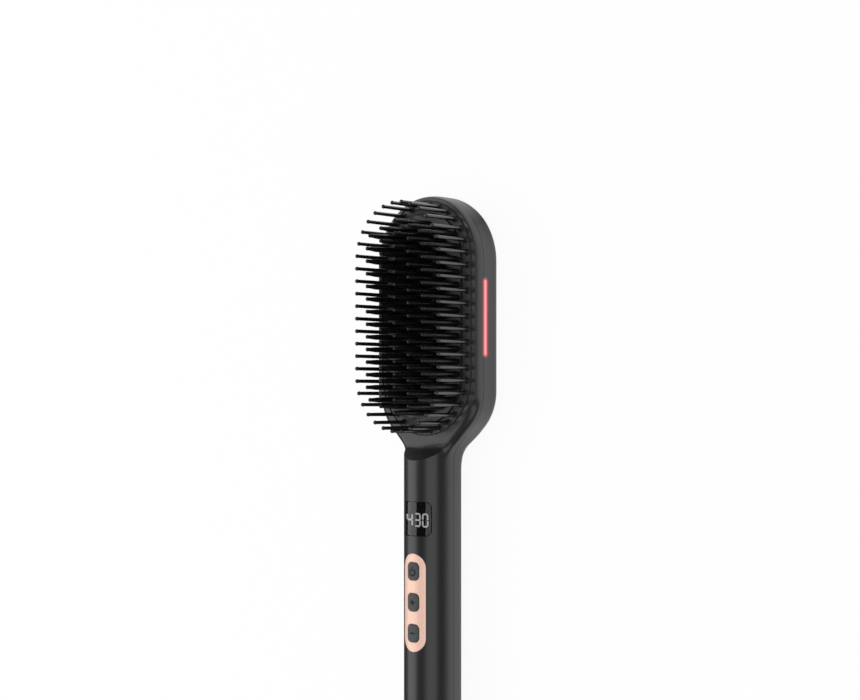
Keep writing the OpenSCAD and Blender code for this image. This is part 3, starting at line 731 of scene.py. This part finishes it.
def places(name, spots, z, edges=()):
    """A mesh of points for a tree to work on. A spot is (x, y) with True after it where an end tooth goes."""
    mesh = bpy.data.meshes.new(name)
    mesh.from_pydata([(s[0], s[1], z) for s in spots], list(edges), [])
    mark = mesh.attributes.new("end", "BOOLEAN", "POINT")
    mark.data.foreach_set("value", [len(s) > 2 for s in spots])
    obj = bpy.data.objects.new(name, mesh)
    bpy.context.scene.collection.objects.link(obj)
    return obj


def blade_spots():
    """Places of the blades in columns and rows. Middle and outer columns stand half a row off the others."""
    spots = [(0, k - 0.5) for k in range(-11, 5)]
    for side in (-1, 1):
        spots += [(side, k) for k in range(-11, 4)]
        spots += [(2 * side, k - 0.5) for k in range(-9, 3)]
        spots += [(1.8 * side, k - 0.5, True) for k in (-10, 3)]
    return spots


# ---------------------------------------------------------------- operators


class BRUSH_OT_casing(bpy.types.Operator):
    """Both casing halves with their seam, pockets, slots and screw holes"""

    bl_idname = "brush.casing"
    bl_label = "Casing"

    def execute(self, context):
        outline = seam_outline()
        whole = seam_outline(TAIL_Y)
        groove = [
            carve(prism("groove", inset_loop(seam_outline(TAIL_Y - 2), -1.5), SEAM_Z - 0.12, SEAM_Z + 0.12),
                  [prism("inside", inset_loop(seam_outline(TAIL_Y - 3), 0.2), SEAM_Z - 1, SEAM_Z + 1)])
            for _ in range(2)
        ]
        front = loft("casing_front", front_levels(whole), 24)
        window = carve(prism("window", self.rounded(9.6, -21.3, -4, 3), SEAM_Z, CUT_Z), [
            along_y("seat", 13.7, -23, -2)])
        bezel = carve(prism("bezel", self.rounded(7.05, -79.3, -30, 7.05), SEAM_Z, CUT_Z), [
            along_y("seat", 13.5, -81, -28)])
        tools = [
            along_y("bore", BORE_R, TAIL_Y - 1, 13),
            prism("cavity", inset_loop(outline, WALL), SEAM_Z - 1, RIM_UNDER),
            prism("plate", stadium(RING_R + 0.15), RIM_UNDER - 1, FACE_Z + 1),
            prism("groove", stadium(RING_R + 0.42), FACE_Z - 0.55, FACE_Z + 1),
            window, prism("opening", self.rounded(8.5, -20.6, -4.7, 1.2), SEAM_Z, CUT_Z), bezel, groove[0],
        ]
        pitch = context.scene.brush_controls.key_pitch / MM
        for y in (BUTTON_Y - pitch, BUTTON_Y, BUTTON_Y + pitch):
            tools.append(prism(
                "hole", self.rounded(KEY_HOLE_W, y - KEY_HOLE_L, y + KEY_HOLE_L, KEY_HOLE_R), SEAM_Z, CUT_Z))
        carve(front, tools)
        soften(front, 24)
        done(front, "casing", "housing", "front_shell", slot="casing")

        back = loft("casing_back", wrap(whole, lambda y: back_wall(y, 0, SEAM_Z)), 20)
        inner = loft("inner", wrap(seam_outline(TAIL_Y - 1), lambda y: back_wall(y, WALL, SEAM_Z + 1)))
        carve(back, [inner])
        carve(back, [rod("pillar", 2.7, x, y, WALL - 0.05, SEAM_Z) for x, y in CASE_SPOTS], "UNION")
        tools = [groove[1]]
        tools += [rod("port", 4, 0, FILL_Y, -1, 2.8, 96), rod("recess", 5.2, 0, FILL_Y, -1, 0.9, 96)]
        for x, y in CASE_SPOTS:
            tools += [rod("screw", 1.3, x, y, -1, SEAM_Z + 1), rod("head", 2.3, x, y, -1, 3.2)]
        for side in (-1, 1):
            tools.append(side_prism("slot", self.bar_loop(0.5), *sorted((side * 31.2, side * 37.2))))
        carve(back, tools)
        soften(back, 20)
        done(back, "casing", "housing", "back_shell", slot="casing")
        return {"FINISHED"}

    @staticmethod
    def rounded(half, y0, y1, corner):
        """A rectangle about X = 0 with rounded corners."""
        right = []
        for i in range(13):
            t = math.pi / 2 * i / 12
            right.append((half - corner + corner * math.sin(t), y0 + corner * (1 - math.cos(t))))
        right += [(x, y0 + y1 - y) for x, y in reversed(right)]
        return both_sides([(max(x, 0.01), y) for x, y in right], apex=False)

    @staticmethod
    def bar_loop(over=0.0):
        """Outline of the light bar as (y, z): square at the seam, rounded at the back."""
        loop = [(BAR_LO, SEAM_Z + over), (BAR_LO, BAR_UNDER + 1)]
        loop += [
            (BAR_LO + 1 - math.cos(t), BAR_UNDER + 1 - math.sin(t))
            for t in np.linspace(0, math.pi / 2, 9)[1:]]
        return loop + [(BAR_LO + BAR_HI - y, z) for y, z in reversed(loop)]


class BRUSH_OT_plates(bpy.types.Operator):
    """The bristle plate and the raised comb plate with its steam vents"""

    bl_idname = "brush.plates"
    bl_label = "Plates"

    def execute(self, context):
        profile = [
            (30.95, FLANGE_UNDER), (30.95, RIM_UNDER), (RING_R, RIM_UNDER), (RING_R, 18.7),
            (RING_R - 0.25, 18.7),
            (RING_R - 0.25, 19.35), (RING_R - 0.32, 19.5), (RING_R - 0.45, 19.58), (RING_R - 0.6, FACE_Z),
            (24.65, FACE_Z), (24.5, 19.56), (24.4, 19.45), (24.35, 19.3), (24.35, FLANGE_UNDER)]
        loops = [stadium(r) for r, _ in profile]
        n, m = len(loops[0]), len(profile)
        points = [(x, y, z) for loop, (_, z) in zip(loops, profile) for x, y in loop]
        faces = [
            (j * n + i, j * n + (i + 1) % n, (j + 1) % m * n + (i + 1) % n, (j + 1) % m * n + i)
            for j in range(m) for i in range(n)
        ]
        done(make("bristle_plate", points, faces), "plate", "housing", "bristle_ring", slot="ring_plate")

        steps = [
            (25.6, PLATE_UNDER), (25.6, FLANGE_UNDER), (ISLAND_R, FLANGE_UNDER), (ISLAND_R, 19.9),
            (ISLAND_R - 0.06, 20.06), (ISLAND_R - 0.16, 20.16), (ISLAND_R - 0.32, ISLAND_Z)]
        plate = loft("comb_base", [[(x, y, z) for x, y in stadium(r)] for r, z in steps])
        sizes = context.scene.brush_teeth
        drill = rod("drill", 0.6, 0, 0, PLATE_UNDER - 1, ISLAND_Z + 1, 16)
        vents = places("vents", [(s, -3.25 - k) for s in (-0.5, 0.5) for k in range(5)], 0)
        grow(vents, grid_tree(), {
            "Tooth": drill, "End tooth": drill, "Column pitch": sizes.column_pitch,
            "Row pitch": sizes.row_pitch,
            "First row": ROW_A * MM, "Finish": FINISHES["ceramic"]})
        bpy.data.objects.remove(drill)
        carve(plate, [vents])
        soften(plate, 32)
        done(plate, "ceramic", "housing", "comb_plate", slot="coated_alloy")
        return {"FINISHED"}


class BRUSH_OT_teeth(bpy.types.Operator):
    """The outer pins, the comb blades and the caps on the blades"""

    bl_idname = "brush.teeth"
    bl_label = "Teeth"

    def execute(self, context):
        sizes = context.scene.brush_teeth
        tall, ball = sizes.pin_tip / MM - FACE_Z, 1.05
        neck = tall - 2 * ball
        profile = [(0, 0), (1.7, 0), (1.7, 0.38), (1.6, 0.5), (1.3, 0.56),
                   (1.18, 0.75), (1.05, 1.1), (0.98, 6), (0.86, neck)]
        profile += [
            (ball * math.cos(t), tall - ball + ball * math.sin(t))
            for t in np.radians(np.linspace(-38, 70, 7))
        ] + [(0, tall)]
        pin = turned("pin", profile, (0, 0, 0), segments=16, closed=False, sharp=40)
        half = [(0.0, RING_HI + PIN_PATH_R)]
        half += [
            (PIN_PATH_R * math.sin(t), RING_HI + PIN_PATH_R * math.cos(t))
            for t in np.radians(np.linspace(1, 90, 90))
        ]
        half += [
            (PIN_PATH_R * math.cos(t), RING_LO - PIN_PATH_R * math.sin(t))
            for t in np.radians(np.linspace(0, 89, 90))
        ] + [(0.0, RING_LO - PIN_PATH_R)]
        loop = half + [(-x, y) for x, y in half[-2:0:-1]]
        edges = [(i, (i + 1) % len(loop)) for i in range(len(loop))]
        pins = places("pins", [(x * MM, y * MM) for x, y in loop], FACE_Z * MM, edges)
        grow(pins, path_tree(), {"Pin": pin, "Pins": sizes.pins, "Finish": FINISHES["pins"]})
        bpy.data.objects.remove(pin)
        done(pins, "pins", "housing", "outer_pins", slot="nylon")

        tree = grid_tree()
        tip = sizes.blade_tip / MM
        spacing = {
            "Column pitch": sizes.column_pitch, "Row pitch": sizes.row_pitch, "First row": ROW_A * MM}
        blade = [
            self.tooth("blade", [
                (4.7 * k, 1.8, ISLAND_Z), (4.62 * k, 1.76, ISLAND_Z + 0.35), (4.3 * k, 1.7, ISLAND_Z + 3),
                (3.9 * k, 1.6, ISLAND_Z + 7.5), (2.4 + 0.62 * k, 1.4, ISLAND_Z + 12), (2.4, 1.25, CAP_Z)])
            for k in (1, 0.82)
        ]
        cap = self.tooth("cap", [
            (2.42, 1.27, CAP_Z), (2.5, 1.35, CAP_Z + 0.12), (2.46, 1.33, CAP_Z + 0.5),
            (1.75, 1.14, CAP_Z + 3),
            (1.1, 0.95, tip - 2.4), (0.93, 0.88, tip - 1.95), (1.02, 1.0, tip - 1.35),
            (1.05, 1.05, tip - 0.95),
            (0.9, 0.9, tip - 0.4), (0.5, 0.5, tip - 0.08), (0.2, 0.2, tip)])
        blades = grow(places("blades", blade_spots(), 0), tree, {
            "Tooth": blade[0], "End tooth": blade[1], "Finish": FINISHES["ceramic"], **spacing})
        caps = grow(places("caps", blade_spots(), 0), tree, {
            "Tooth": cap, "End tooth": cap, "Finish": FINISHES["caps"], **spacing})
        for template in (*blade, cap):
            bpy.data.objects.remove(template)
        done(blades, "ceramic", "housing", "comb_blades", slot="coated_alloy")
        done(caps, "caps", "housing", "blade_caps", slot="cap_resin")
        return {"FINISHED"}

    @staticmethod
    def tooth(name, levels):
        """An upright tooth through ovals, given as half widths along X and Y and a height."""
        rings = []
        for a, b, z in levels:
            right = [
                (a * math.cos(t), b * math.sin(t)) for t in np.radians(np.linspace(-81, 81, 10))
            ]
            rings.append([(x, y, z) for x, y in both_sides(right, apex=False)])
        return loft(name, rings, 40)


class BRUSH_OT_controls(bpy.types.Operator):
    """The bezel, the three keys with their signs, the display window and its digits"""

    bl_idname = "brush.controls"
    bl_label = "Controls"

    def execute(self, context):
        sizes = context.scene.brush_controls
        pitch = sizes.key_pitch / MM
        bezel = pad("bezel", 7.05, -79.3, -30, 7.0, [
            (1.25, BEZEL_R - 0.1), (1.1, BEZEL_R - 0.1), (1.0, BEZEL_R - 0.02), (0.92, BEZEL_R),
            (0.4, BEZEL_R),
            (0.2, BEZEL_R - 0.05), (0.06, BEZEL_R - 0.16), (0.0, BEZEL_R - 0.32), (0.0, GRIP_R - 1)], 40, 24)
        carve(bezel, [
            pad("hole", KEY_HOLE_W, y - KEY_HOLE_L, y + KEY_HOLE_L, KEY_HOLE_R, [
                (-0.4, BEZEL_R + 0.4), (-0.4, BEZEL_R - 0.05), (-0.28, BEZEL_R - 0.2),
                (0.0, BEZEL_R - 0.4), (0.0, GRIP_R - 2)])
            for y in (BUTTON_Y - pitch, BUTTON_Y, BUTTON_Y + pitch)
        ])
        soften(bezel, 24)
        done(bezel, "trim", "housing", "button_bezel", slot="rose_metal")

        top = KEY_TOP_R
        names = (("minus", -1), ("plus", 0), ("power", 1))
        width = sizes.sign_stroke / MM
        for name, i in names:
            y = BUTTON_Y + i * pitch
            key = pad(f"key_{name}", 3.6, y - 4.35, y + 4.35, 2.3, [
                (0.55, top), (0.3, top - 0.04), (0.12, top - 0.13), (0.03, top - 0.26),
                (0.0, top - 0.42), (0.0, None, 25.2)])
            flange = prism("flange", BRUSH_OT_casing.rounded(4.4, y - 5.25, y + 5.25, 2), 25, 25.7)
            carve(key, [flange, rod("foot", 1.2, 0, y, 23.75, 25.3, 32)], "UNION")
            soften(key, 32)
            done(key, "keys", f"{name}_key", f"{name}_button", slot="key")
            arm = 1.55
            ink = (width, top + 0.012, top - 0.2)
            flat = stroke("bar", [(-arm + 2 * arm * k / 8, y) for k in range(9)], *ink)
            if name == "plus":
                carve(flat, [stroke("bar", [(0, y - arm), (0, y + arm)], *ink)], "UNION")
            if name == "power":
                bpy.data.objects.remove(flat)
                ring = [
                    (1.75 * math.sin(t), y - 0.35 - 1.75 * math.cos(t))
                    for t in np.radians(np.linspace(-140, 140, 41))
                ]
                flat = join("sign", [
                    stroke("ring", ring, *ink), stroke("bar", [(0, y - 0.1), (0, y + 2.2)], *ink)])
            flat.name = f"sign_{name}"
            done(flat, "ink", f"{name}_key")

        window = pad("display_glass", 9.48, -21.18, -4.12, 2.9, [
            (0.45, GRIP_R), (0.22, GRIP_R - 0.05), (0.07, GRIP_R - 0.16), (0.0, GRIP_R - 0.3),
            (0.0, GRIP_R - 0.8)], 48, 24)
        done(window, "glass", "housing", "display_window", slot="window")
        segments = []
        for i, digit in enumerate(f"{sizes.reading:03d}"):
            segments += self.digit(digit, (i - 1) * 5.3, -13.4, sizes.digit_height / MM)
        done(join("display_digits", segments), "digits", "housing")
        return {"FINISHED"}

    @staticmethod
    def digit(value, x, y, tall):
        """The lit segments of one digit, each with mitred ends."""
        lit = {
            "0": "abcdef", "1": "bc", "2": "abged", "3": "abgcd", "4": "fgbc", "5": "afgcd",
            "6": "afgedc", "7": "abc", "8": "abcdefg", "9": "abcdfg"}[value]
        thick, gap = 0.85, 0.12
        w, h = 4.2 / 2 - thick / 2, tall / 2 - thick / 2
        ends = {
            "a": ((-w, h), (w, h)), "g": ((-w, 0), (w, 0)), "d": ((-w, -h), (w, -h)), "b": ((w, 0), (w, h)),
            "c": ((w, -h), (w, 0)), "f": ((-w, 0), (-w, h)), "e": ((-w, -h), (-w, 0))}
        out = []
        for part in lit:
            a, b = (Vector(p) for p in ends[part])
            ahead = (b - a).normalized()
            side = Vector((-ahead.y, ahead.x)) * thick / 2
            a, b = a + ahead * gap, b - ahead * gap
            inner = ahead * thick / 2
            loop = [a, a + inner + side, b - inner + side, b, b - inner - side, a + inner - side]
            points = [(x + p.x, y + p.y, z) for z in (25.65, 25.85) for p in loop]
            faces = [(5, 4, 3, 2, 1, 0), (6, 7, 8, 9, 10, 11)]
            faces += [(k, (k + 1) % 6, 6 + (k + 1) % 6, 6 + k) for k in range(6)]
            out.append(make("segment", points, faces))
        return out


class BRUSH_OT_light_bars(bpy.types.Operator):
    """The frosted light bars in the sides of the head"""

    bl_idname = "brush.light_bars"
    bl_label = "Light Bars"

    def execute(self, context):
        for name, side in (("right", 1), ("left", -1)):
            bar = side_prism(
                f"diffuser_{name}", BRUSH_OT_casing.bar_loop(),
                *sorted((side * (HEAD_R - WALL), side * (HEAD_R - 0.02))))
            edge = bar.modifiers.new("edge", "BEVEL")
            edge.width, edge.segments, edge.limit_method = 0.15 * MM, 3, "ANGLE"
            bake(bar)
            soften(bar, 40)
            done(bar, "glow", "housing", f"light_bar_{name}", slot="light_bar")
        return {"FINISHED"}


class BRUSH_OT_cord_end(bpy.types.Operator):
    """The end cap and the swivel that the cord comes out of"""

    bl_idname = "brush.cord_end"
    bl_label = "Cord End"

    def execute(self, context):
        round_edge = [
            (GRIP_R - 5 + 5 * math.cos(t), -139 - 5 * math.sin(t)) for t in np.linspace(0, math.pi / 2, 17)
        ]
        cap = turned("end_cap", [
            (BORE_R - 1.6, -130), (BORE_R - 0.2, -130), (BORE_R - 0.2, -136), (GRIP_R - 0.15, -136),
            (GRIP_R, -136.15), *round_edge, (5.35, -144), (5.15, -143.9), (5.08, -143.7), (5.08, -140.1),
            (BORE_R - 1.6, -140.1)], (0, 0, SEAM_Z), "Y", 128, 30)
        done(cap, "nylon", "housing", "tail_cap", slot="casing")
        boot = [(3.1, -137.8), (7, -137.8), (7, -139.8), (5, -139.8), (5, -144.2), (6.9, -144.2),
                (7, -144.35), (7, -145.4), (6.8, -145.7)]
        y, r = -145.7, 6.5
        for _ in range(4):
            boot += [(r - 0.45, y - 0.1), (r - 0.5, y - 0.42), (r - 0.1, y - 0.5), (r - 0.15, y - 0.95)]
            y, r = y - 1.0, r - 0.45
        boot += [(4.6, -149.75), (4.45, -149.95), (4.3, -150), (3.3, -150), (3.1, -149.8)]
        swivel = turned("cord_boot", boot, (0, 0, SEAM_Z), "Y", 96, 30)
        done(swivel, "silicone", "swivel", "cord_swivel", slot="swivel_resin")
        return {"FINISHED"}


class BRUSH_OT_filler(bpy.types.Operator):
    """The plug of the water filler, with its thumb notch"""

    bl_idname = "brush.filler"
    bl_label = "Filler Plug"

    def execute(self, context):
        plug = turned("fill_plug", [
            (0, 0.62), (2.1, 0.6), (2.3, 0.36), (4.75, 0.35), (4.95, 0.42), (5.0, 0.6), (4.95, 0.8),
            (4.8, 0.85),
            (3.96, 0.86), (3.96, 2.0), (3.8, 2.1), (3.8, 2.5), (3.96, 2.6), (3.96, 4.5),
            (3.6, 4.8), (0, 4.8)],
            (0, FILL_Y, 0), segments=96, closed=False)
        done(plug, "silicone", "filler", "filler_plug", slot="silicone")
        return {"FINISHED"}


class BRUSH_OT_inner_parts(bpy.types.Operator):
    """Finishes for the parts that are shown as the CAD made them"""

    bl_idname = "brush.inner_parts"
    bl_label = "Inner Parts"

    def execute(self, context):
        for node, finish in CARRIED_OVER.items():
            materials = NODES[node].data.materials
            materials.clear()
            materials.append(FINISHES[finish])
        return {"FINISHED"}


class BRUSH_OT_studio(bpy.types.Operator):
    """The camera, the pale floor, the lamps and the surroundings"""

    bl_idname = "brush.studio"
    bl_label = "Studio"

    def execute(self, context):
        self.camera(context)
        self.floor()
        self.surroundings(context)
        for name, turn, half, glow in LAMPS:
            wide = 2 * LAMP_FAR * math.tan(math.radians(half))
            lamp = bpy.data.lights.new(name, "AREA")
            lamp.shape, lamp.size, lamp.size_y = "RECTANGLE", wide, LAMP_LONG
            lamp.energy = glow * math.pi * wide * LAMP_LONG
            obj = bpy.data.objects.new(name, lamp)
            bpy.context.scene.collection.objects.link(obj)
            obj.visible_camera = False
            swung = Matrix.Rotation(math.radians(turn), 4, "Y")
            obj.matrix_world = swung @ Matrix.Translation((0, 0, LAMP_FAR))
        return {"FINISHED"}

    @staticmethod
    def camera(context):
        """Looks across the part from the side and above, as the photograph does."""
        s, c = math.sin(math.radians(CAMERA_TILT)), math.cos(math.radians(CAMERA_TILT))
        lens = bpy.data.cameras.new("camera")
        lens.sensor_fit, lens.sensor_width, lens.lens = "HORIZONTAL", 36, 36 * FOCAL_PX / PICTURE_PX
        lens.shift_y, lens.clip_start, lens.clip_end = SHIFT_PX / PICTURE_PX, 0.01, 50
        obj = bpy.data.objects.new("camera", lens)
        context.scene.collection.objects.link(obj)
        place = Vector((
            CAMERA_FAR * s - CAMERA_ASIDE * c, CAMERA_Y, SEAM_Z * MM + CAMERA_FAR * c + CAMERA_ASIDE * s))
        obj.matrix_world = Matrix(((c, 0, s, place.x), (0, 1, 0, place.y), (-s, 0, c, place.z), (0, 0, 0, 1)))
        context.scene.camera = obj

    @staticmethod
    def floor():
        """A pale floor: paper white where the camera looks at it, with the part's shadow kept, and painted
        light and shade where gloss sees it.
        """
        mat, tree, place = blank("Matt paper")
        fibre = add(tree, "ShaderNodeTexNoise", {"Vector": place, "Scale": 400.0, "Detail": 3.0})
        tint = add(tree, "ShaderNodeMix", {
            0: fibre.outputs["Fac"], 6: (0.94, 0.94, 0.94, 1), 7: (0.92, 0.92, 0.92, 1)}, data_type="RGBA")
        paper = add(tree, "ShaderNodeBsdfDiffuse", {"Color": tint.outputs[2]})
        white = add(tree, "ShaderNodeEmission", {"Strength": 1.0})
        ray = add(tree, "ShaderNodeLightPath").outputs
        seen = add(tree, "ShaderNodeMath", {
            0: ray["Is Camera Ray"], 1: ray["Is Transmission Ray"]}, operation="MAXIMUM")
        share = add(tree, "ShaderNodeMath", {0: seen.outputs[0], 1: 0.93}, operation="MULTIPLY")
        plain = add(tree, "ShaderNodeMixShader", {
            0: share.outputs[0], 1: paper.outputs[0], 2: white.outputs[0]})
        # Painted light in gloss: the paper is a painted bright band beside the part on the right and past the
        # end of its head, with painted shade under the part and on its left, and it fades away from the part
        spot = add(tree, "ShaderNodeSeparateXYZ", {"Vector": place}).outputs
        side = add(tree, "ShaderNodeMapRange", {
            "Value": spot["Y"], "From Min": 16 * MM, "From Max": 50 * MM,
            "To Min": GRIP_R * MM, "To Max": HEAD_R * MM},
            interpolation_type="SMOOTHSTEP")
        past = add(tree, "ShaderNodeMath", {0: spot["Y"], 1: 150 * MM}, operation="SUBTRACT")
        right = add(tree, "ShaderNodeMath", {0: spot["X"], 1: side.outputs[0]}, operation="SUBTRACT")
        beside = add(tree, "ShaderNodeMath", {0: right.outputs[0], 1: past.outputs[0]}, operation="MAXIMUM")
        # Painted shade in gloss under the part and close beside it, standing in for its shadow
        painted_shade_by_part = add(tree, "ShaderNodeMapRange", {
            "Value": beside.outputs[0], "From Min": -12 * MM, "From Max": 10 * MM,
            "To Min": 0.08, "To Max": 1.0})
        far = add(tree, "ShaderNodeMapRange", {
            "Value": beside.outputs[0], "From Min": 35 * MM, "From Max": 110 * MM,
            "To Min": 1.0, "To Max": 0.3})
        painted_gloss_light = add(tree, "ShaderNodeMath", {0: painted_shade_by_part.outputs[0], 1: far.outputs[0]}, operation="MULTIPLY")
        # Emission that only gloss sees: painted reflection of lit and shaded paper
        gloss = add(tree, "ShaderNodeEmission", {"Strength": painted_gloss_light.outputs[0]})
        both = add(tree, "ShaderNodeMixShader", {
            0: ray["Is Glossy Ray"], 1: plain.outputs[0], 2: gloss.outputs[0]})
        add(tree, "ShaderNodeOutputMaterial", {"Surface": both.outputs[0]})
        mesh = bpy.data.meshes.new("floor")
        mesh.from_pydata([(-3, -3, 0), (3, -3, 0), (3, 3, 0), (-3, 3, 0)], [], [(0, 1, 2, 3)])
        mesh.materials.append(mat)
        obj = bpy.data.objects.new("floor", mesh)
        bpy.context.scene.collection.objects.link(obj)

    @staticmethod
    def surroundings(context):
        """Soft even light from all round, nearly dark in gloss, and white to the camera."""
        world = bpy.data.worlds.new("surroundings")
        context.scene.world = world
        world.use_nodes = True
        tree = world.node_tree
        tree.nodes.clear()
        ray = add(tree, "ShaderNodeLightPath").outputs
        soft, dark, white = (
            add(tree, "ShaderNodeBackground", {"Color": (1, 1, 1, 1), "Strength": strength}).outputs[0]
            for strength in (0.6, 0.04, 1.0))
        gloss = add(tree, "ShaderNodeMixShader", {0: ray["Is Glossy Ray"], 1: soft, 2: dark})
        seen = add(tree, "ShaderNodeMixShader", {0: ray["Is Camera Ray"], 1: gloss.outputs[0], 2: white})
        add(tree, "ShaderNodeOutputWorld", {"Surface": seen.outputs[0]})


class BRUSH_PT_panel(bpy.types.Panel):
    """Sizes, colours and the steps that build the brush"""

    bl_idname = "BRUSH_PT_panel"
    bl_label = "Hair Straightener Brush"
    bl_space_type = "VIEW_3D"
    bl_region_type = "UI"
    bl_category = "Brush"

    def draw(self, context):
        scene = context.scene
        for group in (scene.brush_teeth, scene.brush_controls, scene.brush_colours):
            box = self.layout.box()
            for name in group.__annotations__:
                box.prop(group, name)
        for step in STEPS:
            self.layout.operator(step.bl_idname)


STEPS = (
    BRUSH_OT_studio, BRUSH_OT_casing, BRUSH_OT_plates, BRUSH_OT_teeth, BRUSH_OT_controls, BRUSH_OT_light_bars,
    BRUSH_OT_cord_end, BRUSH_OT_filler, BRUSH_OT_inner_parts,
)
GROUPS = {"brush_teeth": TeethSizes, "brush_controls": ControlSizes, "brush_colours": FinishColours}


def register():
    for cls in (*GROUPS.values(), *STEPS, BRUSH_PT_panel):
        bpy.utils.register_class(cls)
    for name, cls in GROUPS.items():
        setattr(bpy.types.Scene, name, PointerProperty(type=cls))


def unregister():
    for name in GROUPS:
        delattr(bpy.types.Scene, name)
    for cls in reversed((*GROUPS.values(), *STEPS, BRUSH_PT_panel)):
        bpy.utils.unregister_class(cls)


def main():
    register()
    bpy.context.scene.view_settings.view_transform = "Standard"
    FINISHES.update(make_finishes())
    for step in STEPS:
        group, name = step.bl_idname.split(".")
        getattr(getattr(bpy.ops, group), name)()


if __name__ == "__main__":
    main()
